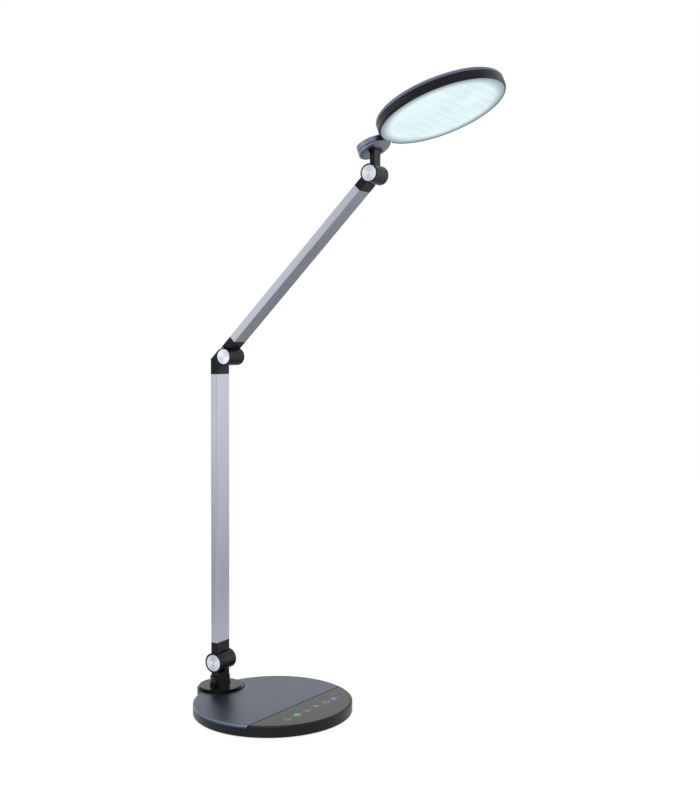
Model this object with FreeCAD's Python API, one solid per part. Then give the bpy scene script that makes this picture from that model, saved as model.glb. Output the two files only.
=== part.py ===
import FreeCAD, Part
import math
import os
from FreeCAD import Placement, Rotation, Vector

# A table lamp on a round base. Millimetres, +Z up, origin under the middle of the base on the table.
# The user sits at -Y. Hinge axes run across the arms, and their polished caps look towards -X.

# Gaps and fits used all over
part_gap = 0.15
running_gap = 0.05
press_gap = 0.02
room = 0.3
over = 1.0

# Base
foot_height = 0.8
grip_pad_margin = 15.0
grip_pad_thickness = 1.6
base_radius = 95.0
base_top = 14.2
base_wall = 2.4
base_bottom_edge = 1.5
base_top_bevel = 2.2
base_top_bevel_drop = 1.2
floor_thickness = 2.0
weight_margin = 12.5
weight_thickness = 3.8
weight_notch_margin = 7.0
deck_underside = 9.0
plate_thickness = 1.5
skirt_bottom = 10.6
skirt_thickness = 1.5
base_screw_margin = 7.5
base_screw_turns = (-54, 18, 162, 234)
base_screw_radius = 1.2
base_screw_head = 2.7
base_screw_head_height = 1.0
base_screw_length = 6.4
base_screw_boss = 3.2

# Touch panel in front of the panel line
panel_depth = 59.0
panel_thickness = 1.2
panel_margin = 2.8
board_thickness = 1.2
board_inset = 8.0
board_line_gap = 3.0
pad_thickness = 0.8
pad_radius = 3.2
pad_pitch = 18.0
pad_count = 6
pad_row_inset = 22.0
indicator_size = 2.0
indicator_height = 0.5
indicator_gap = 1.0

# Turning post at the back of the base
pivot_inset = 11.0
lobe_radius = 28.7
lobe_top = 14.6
cap_height = 2.8
cap_bevel = 2.6
boss_radius = 13.0
boss_underside = 8.6
spigot_radius = 6.0
spigot_end = 5.0
spigot_bore = 2.2
swivel_nut_radius = 10.0
swivel_nut_height = 2.4
nut_slot_width = 2.0
nut_slot_depth = 0.8
swivel_washer_thickness = 0.8
post_radius = 12.8
post_ring_radius = 13.5
post_ring_height = 2.0
post_ring_step = 0.5
post_shoulder = 29.6
post_shoulder_round = 2.5
post_half_width = 9.8
post_half_depth = 6.3
post_gap = 0.6
post_web_x = 1.0
post_lead_turn = 8.0
post_lead_rise = 4.0

# Power inlet in the back of the base
inlet_width = 9.0
inlet_depth = 12.0
inlet_bore_radius = 2.8
inlet_bore_depth = 9.5
inlet_pin_radius = 1.0
inlet_pin_inset = 1.0
inlet_wall_hole = 3.4

# Hinges: a front ear with the bolt head and a longer rear barrel with the nut
base_hinge_z = 47.1
base_hinge_radius = 12.3
arm_hinge_radius = 10.6
base_cap_radius = 10.1
arm_cap_radius = 9.0
hinge_front = 14.3
base_hinge_rear = 16.8
elbow_rear = 14.7
head_hinge_rear = 12.3
hinge_split_x = -6.05
split_gap = 0.2
rear_cap_thickness = 2.8
rear_cap_groove = 0.4
rear_cap_round = 0.8
rear_cap_spigot = 1.0
front_cap_thickness = 1.3
front_cap_proud = 0.25
bolt_radius = 2.5
bolt_head_radius = 4.9
bolt_head_height = 3.0
bolt_end_inset = 1.4
nut_flat = 8.0
nut_height = 2.6
nut_pocket_gap = 0.5
nut_end_room = 1.6
spring_washer_thickness = 0.8
spring_washer_gap = 0.2
friction_washer_thickness = 0.8
friction_washer_radius = 5.6
washer_gap = 0.1
chamber_inner = 6.5
chamber_outer = 8.7
chamber_wall = 1.4

# Arms: flat rectangular tubes with moulded ends
lower_arm_width = 25.6
upper_arm_width = 23.6
arm_depth = 9.2
arm_wall = 1.2
arm_corner = 0.7
arm_inner_corner = 0.4
plug_length = 12.0
plug_gap = 0.05
lower_foot_length = 25.2
lower_head_length = 21.5
elbow_along = 376.4
elbow_forward = 15.75
elbow_web_drop = 2.0
upper_foot_length = 22.6
upper_head_length = 22.2
upper_arm_raise = 7.15
head_hinge_along = 285.6
head_hinge_drop = 1.1
arm_swivel = 5.0
lower_arm_lean = 0.35
upper_arm_rise = 44.2
ear_clearance = 0.5
elbow_clearance = 0.5
arm_screw_radius = 1.2
arm_screw_head = 2.1
arm_screw_x = 5.0
arm_screw_length = 3.8
arm_lead_straight = 30.0
elbow_lead_turn = 3.0
elbow_lead_side = 2.0

# Neck and swivelling joint of the head
neck_half_width = 7.6
neck_half_depth = 3.0
neck_corner = 1.2
neck_blank_height = 40.0
neck_screw_x = 8.3
neck_screw_radius = 0.9
neck_screw_head = 1.6
neck_screw_head_height = 0.9
neck_screw_grip = 1.2
collar_half_width = 10.8
collar_half_depth = 4.2
collar_corner = 2.0
collar_thickness = 1.6
head_tilt = 21.2
swivel_forward = 10.2
swivel_radius = 19.4
swivel_split = 28.4
swivel_top = 34.0
wedge_back = 22.0
wedge_front = 27.5
wedge_bevel = 1.2
head_screw_radius = 3.0
head_screw_bore = 1.2
head_screw_seat_step = 1.2
head_screw_seat_drop = 1.5
head_screw_head_height = 1.3
head_screw_tip_cover = 1.0
head_washer_width = 2.8

# Head
head_overlap = 2.7
head_radius = 71.9
head_lip_inset = 1.3
head_lip_bottom = 25.7
head_lip_bevel = 2.2
head_band_bottom = 34.6
head_top = 38.6
head_round = 2.2
rim_groove = 0.5
rim_groove_depth = 0.6
rim_wall = 1.2
shell_wall = 2.0
shell_spigot_wall = 1.75
shell_spigot_depth = 1.2
diffuser_margin = 2.3
diffuser_face = 26.0
diffuser_thickness = 1.8
diffuser_flange = 1.2
led_board_bottom = 32.0
led_board_thickness = 1.0
led_board_margin = 6.9
heat_plate_thickness = 1.0
led_size = 2.8
led_height = 0.7
led_pitch = 11.0
led_margin = 5.0
led_screw_gap = 1.5
notch_gap = 0.5
tongue_half_width = 9.0
tongue_reach = 18.4
tongue_thickness = 2.0
tongue_wall_gap = 0.9
tongue_screw_x = 5.0
tongue_screw_inset = 4.0
tongue_screw_radius = 1.0
tongue_screw_head = 1.9
tongue_screw_head_height = 0.9
tongue_screw_bite = 1.2
shell_screw_radius = 1.2
shell_screw_head = 2.2
shell_screw_head_height = 1.2
shell_screw_end = 1.6
shell_screw_boss = 3.0
shell_screw_turns = (50, 130, 230, 310)
shell_screw_margin = 8.0

# Leads inside the lamp
lead_radius = 0.7
lead_bend = 6.0
lead_gap = 0.2
lead_hole_radius = 1.6
lead_pair = 1.3
lead_way_radius = 2.6
lead_way_inset = 5.0
lead_spread = 14.0
lead_spread_y = 30.0
lead_start_gap = 0.6

# Sizes that follow from those above
pivot_y = base_radius - pivot_inset
panel_line_y = panel_depth - base_radius
pad_row_y = panel_line_y - pad_row_inset
panel_radius = base_radius - panel_margin
inner_floor = foot_height + floor_thickness
lower_tube_length = elbow_along - lower_foot_length - lower_head_length
upper_tube_length = head_hinge_along - upper_foot_length - upper_head_length
head_forward = swivel_forward + swivel_radius + head_radius - head_overlap
diffuser_radius = head_radius - diffuser_margin
led_board_radius = head_radius - led_board_margin
head_step = diffuser_face + diffuser_thickness
shell_roof = head_top - shell_wall
shell_inner_radius = head_radius - rim_wall - part_gap - shell_spigot_wall


def box(x0, x1, y0, y1, z0, z1):
    """A block between two corners."""
    return Part.makeBox(x1 - x0, y1 - y0, z1 - z0, Vector(x0, y0, z0))


def disc(radius, z0, z1, x=0.0, y=0.0):
    """An upright cylinder between two heights."""
    return Part.makeCylinder(radius, z1 - z0, Vector(x, y, z0))


def roller(radius, x0, x1, y=0.0, z=0.0):
    """A cylinder along X."""
    return Part.makeCylinder(radius, x1 - x0, Vector(x0, y, z), Vector(1, 0, 0))


def rod(radius, start, end):
    """A cylinder from one point to another."""
    start, end = Vector(*start), Vector(*end)
    along = end - start
    return Part.makeCylinder(radius, along.Length, start, along)


def slab(points, x0, x1):
    """A flat outline in Y and Z, given as points, made thick along X."""
    corners = [Vector(x0, y, z) for y, z in points]
    outline = Part.makePolygon(corners + corners[:1])
    return Part.Face(outline).extrude(Vector(x1 - x0, 0, 0))


def lathe(points, x=0.0, y=0.0):
    """A closed outline of radius and height turned about an upright axis."""
    corners = [Vector(r, 0, z) for r, z in points]
    outline = Part.makePolygon(corners + corners[:1])
    turned = Part.Face(outline).revolve(Vector(0, 0, 0), Vector(0, 0, 1), 360)
    turned.translate(Vector(x, y, 0))
    return turned


def cut_all(shape, cuts):
    """Take a list of shapes out of one, and tidy the faces that are left."""
    for piece in cuts:
        shape = shape.cut(piece)
    return shape.removeSplitter()


def join(shapes):
    """Several shapes made into one."""
    whole = shapes[0]
    for shape in shapes[1:]:
        whole = whole.fuse(shape).removeSplitter()
    return whole


def edges_along(shape, direction):
    """Straight edges of a shape that run in one direction."""
    found = []
    for edge in shape.Edges:
        if edge.Curve.TypeId != "Part::GeomLine":
            continue
        if abs(edge.tangentAt(edge.FirstParameter).dot(Vector(*direction))) > 0.999:
            found.append(edge)
    return found


def bar(half_x, half_y, z0, z1, corner, y=0.0):
    """An upright bar of rectangular section with rounded corners."""
    block = box(-half_x, half_x, y - half_y, y + half_y, z0, z1)
    return block.makeFillet(corner, edges_along(block, (0, 0, 1)))


def hexagon(flat, x0, x1):
    """A hexagonal block along X."""
    reach = flat / math.sqrt(3)
    points = []
    for corner in range(6):
        angle = math.radians(60 * corner)
        points.append((reach * math.cos(angle), reach * math.sin(angle)))
    return slab(points, x0, x1)


def lead(points, bend=lead_bend):
    """A round lead along straight runs joined by tangent arcs."""
    spots = [Vector(*p) for p in points]
    edges = []
    start = spots[0]
    for before, corner, after in zip(spots, spots[1:], spots[2:]):
        back = before - corner
        ahead = after - corner
        half = back.getAngle(ahead) / 2
        reach = min(0.45 * back.Length, 0.45 * ahead.Length, bend / math.tan(half))
        radius = reach * math.tan(half)
        back.normalize()
        ahead.normalize()
        middle = back + ahead
        middle.normalize()
        bulge = corner + middle * (radius / math.sin(half) - radius)
        arc_start = corner + back * reach
        arc_end = corner + ahead * reach
        edges.append(Part.LineSegment(start, arc_start).toShape())
        edges.append(Part.Arc(arc_start, bulge, arc_end).toShape())
        start = arc_end
    edges.append(Part.LineSegment(start, spots[-1]).toShape())
    path = Part.Wire(edges)
    heading = spots[1] - spots[0]
    section = Part.Wire(Part.makeCircle(lead_radius, spots[0], heading))
    return path.makePipeShell([section], True, False)


# Frames of the moving assemblies, each in the one before it
swivel_frame = Placement(Vector(0, pivot_y, 0), Rotation(Vector(0, 0, 1), arm_swivel))
lower_frame = swivel_frame * Placement(Vector(0, 0, base_hinge_z), Rotation(Vector(1, 0, 0), lower_arm_lean))
elbow_turn = 90 - upper_arm_rise - lower_arm_lean
elbow_point = Vector(0, -elbow_forward, elbow_along)
upper_frame = lower_frame * Placement(elbow_point, Rotation(Vector(1, 0, 0), elbow_turn))
head_hinge_y = upper_arm_raise - head_hinge_drop
head_hinge_point = Vector(0, head_hinge_y, head_hinge_along)
neck_turn = upper_arm_rise - 90
neck_frame = upper_frame * Placement(head_hinge_point, Rotation(Vector(1, 0, 0), neck_turn))
head_frame = neck_frame * Placement(Vector(0, 0, 0), Rotation(Vector(1, 0, 0), -head_tilt))

# Places shared by the pieces of every hinge
ear_front = -hinge_front
ear_back = hinge_split_x - split_gap / 2
barrel_front = hinge_split_x + split_gap / 2
cap_floor = ear_front + front_cap_thickness
head_seat = cap_floor + bolt_head_height + room
nut_pocket = nut_flat / math.sqrt(3) + nut_pocket_gap
nut_room = nut_height + spring_washer_thickness + nut_end_room
chamber_front = cap_floor + chamber_wall
chamber_middle = (chamber_inner + chamber_outer) / 2
ear_lead_x = (ear_back + chamber_front) / 2
washer_seat = (friction_washer_thickness - split_gap) / 2


def barrel_end(rear):
    """Back face of a rear barrel, in front of its cap."""
    return rear - rear_cap_thickness


def nut_seat(rear):
    """Face that the nut of a hinge pulls on."""
    return barrel_end(rear) - nut_room


def chamber_back(rear):
    """End of the ring-shaped space inside a rear barrel."""
    return nut_seat(rear) - chamber_wall


def barrel_lead_x(rear):
    """Where a lead leaves a rear barrel."""
    return (barrel_front + chamber_back(rear)) / 2


def chamber(x0, x1):
    """The ring-shaped space round a hinge bolt that the lead passes through."""
    return roller(chamber_outer, x0, x1).cut(roller(chamber_inner, x0, x1))


def ear_cuts(cap_radius):
    """Everything that is taken out of a front ear."""
    return [
        roller(cap_radius + running_gap, ear_front - over, cap_floor),
        roller(bolt_head_radius + room, cap_floor - over, head_seat),
        roller(bolt_radius + running_gap, cap_floor, ear_back + over),
        roller(friction_washer_radius + washer_gap, ear_back - washer_seat, ear_back + over),
        chamber(chamber_front, ear_back + over),
    ]


def barrel_cuts(rear):
    """Everything that is taken out of a rear barrel."""
    washer_end = barrel_front + washer_seat + running_gap
    return [
        roller(friction_washer_radius + washer_gap, barrel_front - over, washer_end),
        roller(bolt_radius + running_gap, barrel_front - over, barrel_end(rear)),
        roller(nut_pocket, nut_seat(rear), barrel_end(rear) + over),
        chamber(barrel_front - over, chamber_back(rear)),
    ]


def hinge_bolt(rear):
    """Round-headed bolt, seated in the front ear."""
    head = roller(bolt_head_radius, head_seat - bolt_head_height, head_seat)
    shank = roller(bolt_radius, head_seat, barrel_end(rear) - bolt_end_inset)
    return head.fuse(shank).removeSplitter()


def hinge_nut(rear):
    """Hexagonal nut behind the spring washer."""
    start = nut_seat(rear) + spring_washer_thickness
    nut = hexagon(nut_flat, start, start + nut_height)
    return nut.cut(roller(bolt_radius + press_gap, start - over, start + nut_height + over))


def hinge_spring_washer(rear):
    """Washer that keeps the friction of the hinge."""
    start = nut_seat(rear)
    end = start + spring_washer_thickness
    hole = roller(bolt_radius + spring_washer_gap, start - over, end + over)
    return roller(nut_flat / 2, start, end).cut(hole)


def hinge_friction_washer():
    """Plastic washer between ear and barrel."""
    start = ear_back - washer_seat
    end = start + friction_washer_thickness
    hole = roller(bolt_radius + running_gap, start - over, end + over)
    return roller(friction_washer_radius, start, end).cut(hole)


def hinge_front_cap(radius):
    """Polished disc that covers the bolt head."""
    front = ear_front - front_cap_proud
    cap = roller(radius, front, cap_floor)
    return cap.makeChamfer(front_cap_proud, [min(cap.Edges, key=lambda edge: edge.BoundBox.XMax)])


def hinge_rear_cap(radius, rear):
    """Plug that closes the nut pocket at the back of the hinge."""
    start = barrel_end(rear)
    flange = roller(radius, start + rear_cap_groove, rear)
    flange = flange.makeFillet(rear_cap_round, [max(flange.Edges, key=lambda edge: edge.BoundBox.XMin)])
    step = roller(radius - rear_cap_groove, start, start + rear_cap_groove)
    spigot = roller(nut_pocket - running_gap, start - rear_cap_spigot, start)
    return join([flange, step, spigot])


def upright_disc(radius, z0, z1, round_edge, top=False):
    """An upright cylinder with its bottom or top edge rounded."""
    blank = disc(radius, z0, z1)
    if top:
        rim = max(blank.Edges, key=lambda edge: edge.BoundBox.ZMin)
    else:
        rim = min(blank.Edges, key=lambda edge: edge.BoundBox.ZMax)
    return blank.makeFillet(round_edge, [rim])


def around(radius, turns):
    """Spots on a circle about the middle of the base or of the head."""
    spots = []
    for turn in turns:
        angle = math.radians(turn)
        spots.append((radius * math.cos(angle), radius * math.sin(angle)))
    return spots


def screw_spots():
    """Where the four screws of the base stand."""
    return around(base_radius - base_screw_margin, base_screw_turns)


def panel_area(radius, y_line, z0, z1):
    """The segment in front of a line."""
    front = box(-radius - over, radius + over, -radius - over, y_line, z0, z1)
    return disc(radius, z0, z1).common(front)


def board_bottom():
    """Height of the underside of the touch board."""
    return base_top - panel_thickness - pad_thickness - board_thickness


def board_top():
    """Height of the face that carries the touch pads."""
    return board_bottom() + board_thickness


def board_area(gap, z0, z1):
    """Outline of the touch board, grown by a gap."""
    return panel_area(panel_radius - board_inset + gap, panel_line_y - board_line_gap + gap, z0, z1)


def lead_way_y():
    """Where the leads come up to the touch board."""
    return panel_line_y - board_line_gap - lead_way_inset


def inlet_z():
    """Height of the middle of the power inlet."""
    return (inner_floor + lobe_top - base_wall) / 2


def inlet_back():
    """Rear face of the power inlet, against the wall of the base."""
    wall = lobe_radius - base_wall - washer_gap
    return pivot_y + math.sqrt(wall ** 2 - (inlet_width / 2) ** 2)


def housing_outside():
    """Outer form of the base housing: a low drum, the frame of the panel and the round at the back."""
    lower = upright_disc(base_radius, foot_height, skirt_bottom, base_bottom_edge)
    upper = disc(base_radius - skirt_thickness - part_gap, skirt_bottom, base_top - plate_thickness)
    profile = [
        (0, skirt_bottom), (base_radius, skirt_bottom), (base_radius, base_top - base_top_bevel_drop),
        (base_radius - base_top_bevel, base_top), (0, base_top),
    ]
    size = base_radius + over
    front = lathe(profile).common(box(-size, size, -size, panel_line_y, 0, size))
    lobe = moved(upright_disc(lobe_radius, foot_height, lobe_top, base_bottom_edge), pivot_y, 0)
    return join([lower, upper, front, lobe])


def base_housing():
    """Black moulded body of the base, open below."""
    inside = disc(base_radius - base_wall, 0, deck_underside)
    lobe_room = disc(lobe_radius - base_wall, 0, lobe_top - base_wall, 0, pivot_y)
    boss = disc(boss_radius, boss_underside, lobe_top, 0, pivot_y)
    body = housing_outside().cut(inside.fuse(lobe_room).cut(boss))
    body = join([body] + [disc(base_screw_boss, inner_floor, deck_underside, x, y) for x, y in screw_spots()])
    panel_floor = base_top - panel_thickness
    inlet_start = (0, inlet_back() - over, inlet_z())
    inlet_end = (0, pivot_y + lobe_radius + over, inlet_z())
    screw_end = foot_height + base_screw_length + room
    cuts = [
        panel_area(panel_radius + part_gap, panel_line_y + over, panel_floor, base_top + over),
        board_area(room, board_bottom(), base_top),
        disc(lead_way_radius, 0, base_top, 0, lead_way_y()),
        disc(spigot_radius + running_gap, 0, lobe_top + over, 0, pivot_y),
        rod(inlet_wall_hole, inlet_start, inlet_end),
    ]
    cuts += [disc(base_screw_radius + running_gap, 0, screw_end, x, y) for x, y in screw_spots()]
    return cut_all(body, cuts)


def base_floor():
    """Bottom cover of the base."""
    grown = base_wall + part_gap
    main = disc(base_radius - grown, foot_height, inner_floor)
    cover = main.fuse(disc(lobe_radius - grown, foot_height, inner_floor, 0, pivot_y)).removeSplitter()
    cuts = [disc(base_radius - grip_pad_margin + part_gap, 0, grip_pad_thickness)]
    cuts += [disc(base_screw_radius + room, 0, base_top, x, y) for x, y in screw_spots()]
    recess_top = foot_height + base_screw_head_height
    cuts += [disc(base_screw_head + room, 0, recess_top, x, y) for x, y in screw_spots()]
    return cut_all(cover, cuts)


def grip_pad():
    """Soft pad in a shallow pocket under the base."""
    return disc(base_radius - grip_pad_margin, 0, grip_pad_thickness)


def base_screws():
    """Pan-headed screws through the bottom cover."""
    shoulder = foot_height + base_screw_head_height
    tip = foot_height + base_screw_length
    screws = []
    for x, y in screw_spots():
        head = disc(base_screw_head, foot_height, shoulder, x, y)
        screws.append(head.fuse(disc(base_screw_radius, shoulder, tip, x, y)).removeSplitter())
    return screws


def base_weight():
    """Steel plate that keeps the lamp upright."""
    plate = disc(base_radius - weight_margin, inner_floor, inner_floor + weight_thickness)
    return plate.cut(disc(boss_radius + weight_notch_margin, 0, base_top, 0, pivot_y))


def top_plate():
    """Brushed plate with a turned-down skirt, behind the panel line."""
    inner = base_radius - skirt_thickness
    underside = base_top - plate_thickness
    skirt_end = skirt_bottom + part_gap
    profile = [
        (0, underside), (inner, underside), (inner, skirt_end), (base_radius, skirt_end),
        (base_radius, base_top - base_top_bevel_drop), (base_radius - base_top_bevel, base_top),
        (0, base_top),
    ]
    size = base_radius + over
    front = box(-size, size, -size, panel_line_y + part_gap, 0, size)
    hole = disc(lobe_radius + part_gap, 0, size, 0, pivot_y)
    return cut_all(lathe(profile), [front, hole])


def control_panel():
    """Gloss panel that the user touches."""
    return panel_area(panel_radius, panel_line_y - part_gap, base_top - panel_thickness, base_top)


def touch_board():
    """Circuit board under the panel."""
    lead_way = disc(lead_way_radius, 0, base_top, 0, lead_way_y())
    return board_area(0.0, board_bottom(), board_top()).cut(lead_way)


def touch_spots():
    """Middles of the touch fields, in a row along the panel line."""
    return [((place - (pad_count - 1) / 2) * pad_pitch, pad_row_y) for place in range(pad_count)]


def touch_pads():
    """Springy conducting pads between board and panel."""
    return [disc(pad_radius, board_top(), board_top() + pad_thickness, x, y) for x, y in touch_spots()]


def indicator_lights():
    """Small lamps behind the second and the last of the touch fields."""
    half = indicator_size / 2
    low = board_top()
    spots = touch_spots()
    lights = []
    for x, y in (spots[1], spots[-1]):
        start = y + pad_radius + indicator_gap
        lights.append(box(x - half, x + half, start, start + indicator_size, low, low + indicator_height))
    return lights


def power_inlet():
    """Power socket with its centre pin, in the back of the base."""
    back = inlet_back()
    half = inlet_width / 2
    bottom_y = back - inlet_bore_depth
    body = box(-half, half, back - inlet_depth, back, inner_floor, inlet_z() + half)
    bore = rod(inlet_bore_radius, (0, bottom_y, inlet_z()), (0, back + over, inlet_z()))
    pin = rod(inlet_pin_radius, (0, bottom_y, inlet_z()), (0, back - inlet_pin_inset, inlet_z()))
    return body.cut(bore).fuse(pin).removeSplitter()


def base_leads():
    """Leads from the inlet to the board, and from the board to the turning post."""
    level = inner_floor + weight_thickness + lead_gap + lead_radius
    low = inner_floor + lead_gap + lead_radius
    inlet_y = inlet_back() - inlet_depth / 2
    side = boss_radius + weight_notch_margin
    board_y = lead_way_y()
    feed = lead([
        (inlet_width / 2, inlet_y, level), (side - lead_way_inset, inlet_y, level), (side, pivot_y, level),
        (lead_spread, lead_spread_y, level), (lead_pair, board_y, level), (lead_pair, board_y, board_top()),
    ])
    out = lead([
        (-lead_pair, board_y, board_top()), (-lead_pair, board_y, level),
        (-lead_spread, lead_spread_y, level), (-lead_spread, pivot_y - side - lead_pair, level),
        (-side / 2, pivot_y - boss_radius, level),
        (-spigot_radius, pivot_y - spigot_radius, low), (0.0, pivot_y, low),
    ])
    return [feed, out]


def pivot_cap():
    """Fixed bevelled disc that the post stands on."""
    top = lobe_top + cap_height
    hole = spigot_radius + running_gap
    outline = [(hole, lobe_top), (lobe_radius, lobe_top), (lobe_radius - cap_bevel, top), (hole, top)]
    return lathe(outline, 0, pivot_y)


def post_outside():
    """Outer form of the post: foot ring, column with a flat front, block, web, barrel and spigot."""
    bottom = lobe_top + cap_height
    size = 2 * post_shoulder
    ring = disc(post_ring_radius, bottom, bottom + post_ring_height)
    ring = ring.cut(box(-size, size, -size, -post_half_depth - post_ring_step, 0, size))
    column = upright_disc(post_radius, bottom, post_shoulder, post_shoulder_round, top=True)
    column = column.cut(box(-size, size, -size, -post_half_depth, 0, size))
    block_top = base_hinge_z - base_hinge_radius - post_gap
    block = box(-post_half_width, post_half_width, -post_half_depth, post_half_depth, bottom, block_top)
    web = box(post_web_x, post_half_width, -post_half_depth, post_half_depth, bottom, base_hinge_z)
    barrel = roller(base_hinge_radius, barrel_front, barrel_end(base_hinge_rear), 0, base_hinge_z)
    return join([block, column, ring, web, barrel, disc(spigot_radius, spigot_end, bottom)])


def post():
    """Turning post with its foot ring, hollow spigot and the rear barrel of the base hinge."""
    turn_z, rise_z = post_lead_heights()
    x = post_lead_x()
    cuts = [moved(piece, 0, base_hinge_z) for piece in barrel_cuts(base_hinge_rear)]
    cuts += [
        disc(spigot_bore, 0, turn_z + lead_hole_radius),
        rod(lead_hole_radius, (0, 0, turn_z), (x, 0, rise_z)),
        disc(lead_hole_radius, rise_z - over, base_hinge_z - chamber_inner, x),
    ]
    return cut_all(post_outside(), cuts)


def moved(shape, y, z):
    """A copy of a shape moved in Y and Z."""
    copy = shape.copy()
    copy.translate(Vector(0, y, z))
    return copy


def post_lead_x():
    """Where the lead rises into the barrel of the base hinge."""
    return (post_web_x + chamber_back(base_hinge_rear)) / 2


def post_lead_heights():
    """Heights where the lead leaves the middle of the post and where it turns up again."""
    return (post_shoulder - post_lead_turn, post_shoulder - post_lead_rise)


def swivel_washer():
    """Friction washer under the boss of the base."""
    washer = disc(swivel_nut_radius, boss_underside - swivel_washer_thickness, boss_underside)
    return washer.cut(disc(spigot_radius + running_gap, 0, lobe_top))


def swivel_nut():
    """Round slotted nut that holds the post in the base."""
    top = boss_underside - swivel_washer_thickness
    bottom = top - swivel_nut_height
    nut = disc(swivel_nut_radius, bottom, top)
    size = swivel_nut_radius + over
    slot = box(-size, size, -nut_slot_width / 2, nut_slot_width / 2, 0, bottom + nut_slot_depth)
    return cut_all(nut, [disc(spigot_radius + press_gap, 0, lobe_top), slot])


def post_lead():
    """Lead through the post, up to the base hinge."""
    turn_z, rise_z = post_lead_heights()
    x = post_lead_x()
    start = (0, 0, spigot_end + lead_start_gap)
    return lead([start, (0, 0, turn_z), (x, 0, rise_z), (x, 0, base_hinge_z - chamber_middle)])


def arm_tube(width, start, length, y=0.0):
    """Rectangular aluminium tube."""
    end = start + length
    outer = bar(width / 2, arm_depth / 2, start, end, arm_corner, y)
    inner_half = arm_depth / 2 - arm_wall
    inner = bar(width / 2 - arm_wall, inner_half, start - over, end + over, arm_inner_corner, y)
    return outer.cut(inner)


def arm_plug(width, z0, z1, y=0.0):
    """The part of an end fitting that sits inside the tube."""
    inset = arm_wall + plug_gap
    return bar(width / 2 - inset, arm_depth / 2 - inset, z0, z1, arm_inner_corner, y)


def tube_screw(x, y, z, gap):
    """One countersunk screw in the rear face of a tube, or its hole if a gap is given."""
    face = y + arm_depth / 2
    radius = arm_screw_radius + gap
    depth = arm_screw_head - arm_screw_radius
    shank = rod(radius, (x, face - arm_screw_length - gap, z), (x, face, z))
    head = Part.makeCone(radius, arm_screw_head + gap, depth, Vector(x, face - depth, z), Vector(0, 1, 0))
    return shank.fuse(head).removeSplitter()


def tube_screws(heights, y=0.0, gap=0.0):
    """The countersunk screws that hold a tube on its two plugs, or their holes."""
    return [tube_screw(x, y, z, gap) for z in heights for x in (-arm_screw_x, arm_screw_x)]


def lower_screw_heights():
    """Where the screws cross the lower tube."""
    return (lower_foot_length + plug_length / 2, lower_foot_length + lower_tube_length - plug_length / 2)


def upper_screw_heights():
    """Where the screws cross the upper tube."""
    return (upper_foot_length + plug_length / 2, upper_foot_length + upper_tube_length - plug_length / 2)


def lower_arm_tube():
    """Tube of the lower arm."""
    tube = arm_tube(lower_arm_width, lower_foot_length, lower_tube_length)
    return cut_all(tube, tube_screws(lower_screw_heights(), 0.0, running_gap))


def upper_arm_tube():
    """Tube of the upper arm."""
    tube = arm_tube(upper_arm_width, upper_foot_length, upper_tube_length, upper_arm_raise)
    return cut_all(tube, tube_screws(upper_screw_heights(), upper_arm_raise, running_gap))


def lower_arm_foot():
    """Bottom fitting of the lower arm with the front ear of the base hinge."""
    width = lower_arm_width
    shoulder = base_hinge_radius + ear_clearance
    block = bar(width / 2, arm_depth / 2, 0, lower_foot_length, arm_corner)
    block = block.cut(box(ear_back, width, -arm_depth, arm_depth, -over, shoulder))
    plug_top = lower_foot_length + plug_length
    plug = arm_plug(width, lower_foot_length, plug_top)
    ear = roller(base_hinge_radius, ear_front, ear_back)
    cuts = ear_cuts(base_cap_radius)
    cuts.append(disc(lead_hole_radius, chamber_middle, plug_top + over, ear_lead_x))
    cuts += tube_screws(lower_screw_heights()[:1], 0.0, running_gap)
    return cut_all(join([block, ear, plug]), cuts)


def elbow_face_distance():
    """Distance of the upper arm's back face from the elbow."""
    return upper_arm_raise + arm_depth / 2


def elbow_web():
    """Side of the elbow fitting that carries the ear, cut off in line with the back of the upper arm."""
    half = arm_depth / 2
    start = elbow_along - lower_head_length
    slope = math.radians(upper_arm_rise + lower_arm_lean)
    touch_y = -elbow_forward + elbow_face_distance() * math.sin(slope)
    touch_z = elbow_along + elbow_face_distance() * math.cos(slope)
    back_z = touch_z - (half - touch_y) * math.tan(slope)
    low = elbow_along - arm_hinge_radius
    web = slab([
        (half, start), (half, back_z), (touch_y, touch_z), (-elbow_forward, elbow_along),
        (-elbow_forward, low), (-half, low - elbow_web_drop), (-half, start),
    ], -lower_arm_width / 2, ear_back)
    outer = []
    for edge in edges_along(web, (0, 0, 1)):
        corner = edge.Vertexes[0].Point
        if corner.x < ear_back - over and abs(corner.y) < half + part_gap:
            outer.append(edge)
    return web.makeFillet(arm_corner, outer)


def elbow_lead_mouth():
    """Corner of the lead below the elbow and the place where it enters the ear's chamber."""
    corner = elbow_along - lower_head_length + elbow_lead_turn
    toward = math.atan2(corner - elbow_along, elbow_forward)
    mouth_y = -elbow_forward + chamber_middle * math.cos(toward)
    mouth_z = elbow_along + chamber_middle * math.sin(toward)
    return ((ear_lead_x, 0, corner), (ear_lead_x, mouth_y, mouth_z))


def lower_arm_head():
    """Top fitting of the lower arm, reaching forward to the front ear of the elbow."""
    start = elbow_along - lower_head_length
    side_top = elbow_along - arm_hinge_radius - ear_clearance
    block = bar(lower_arm_width / 2, arm_depth / 2, start, side_top, arm_corner)
    ear = moved(roller(arm_hinge_radius, ear_front, ear_back), -elbow_forward, elbow_along)
    plug = arm_plug(lower_arm_width, start - plug_length, start)
    corner, mouth = elbow_lead_mouth()
    cuts = [moved(piece, -elbow_forward, elbow_along) for piece in ear_cuts(arm_cap_radius)]
    cuts.append(disc(lead_hole_radius, start - plug_length - over, corner[2] + lead_hole_radius, ear_lead_x))
    cuts.append(rod(lead_hole_radius, corner, mouth))
    cuts += tube_screws(lower_screw_heights()[1:], 0.0, running_gap)
    return cut_all(join([block, elbow_web(), ear, plug]), cuts)


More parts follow.
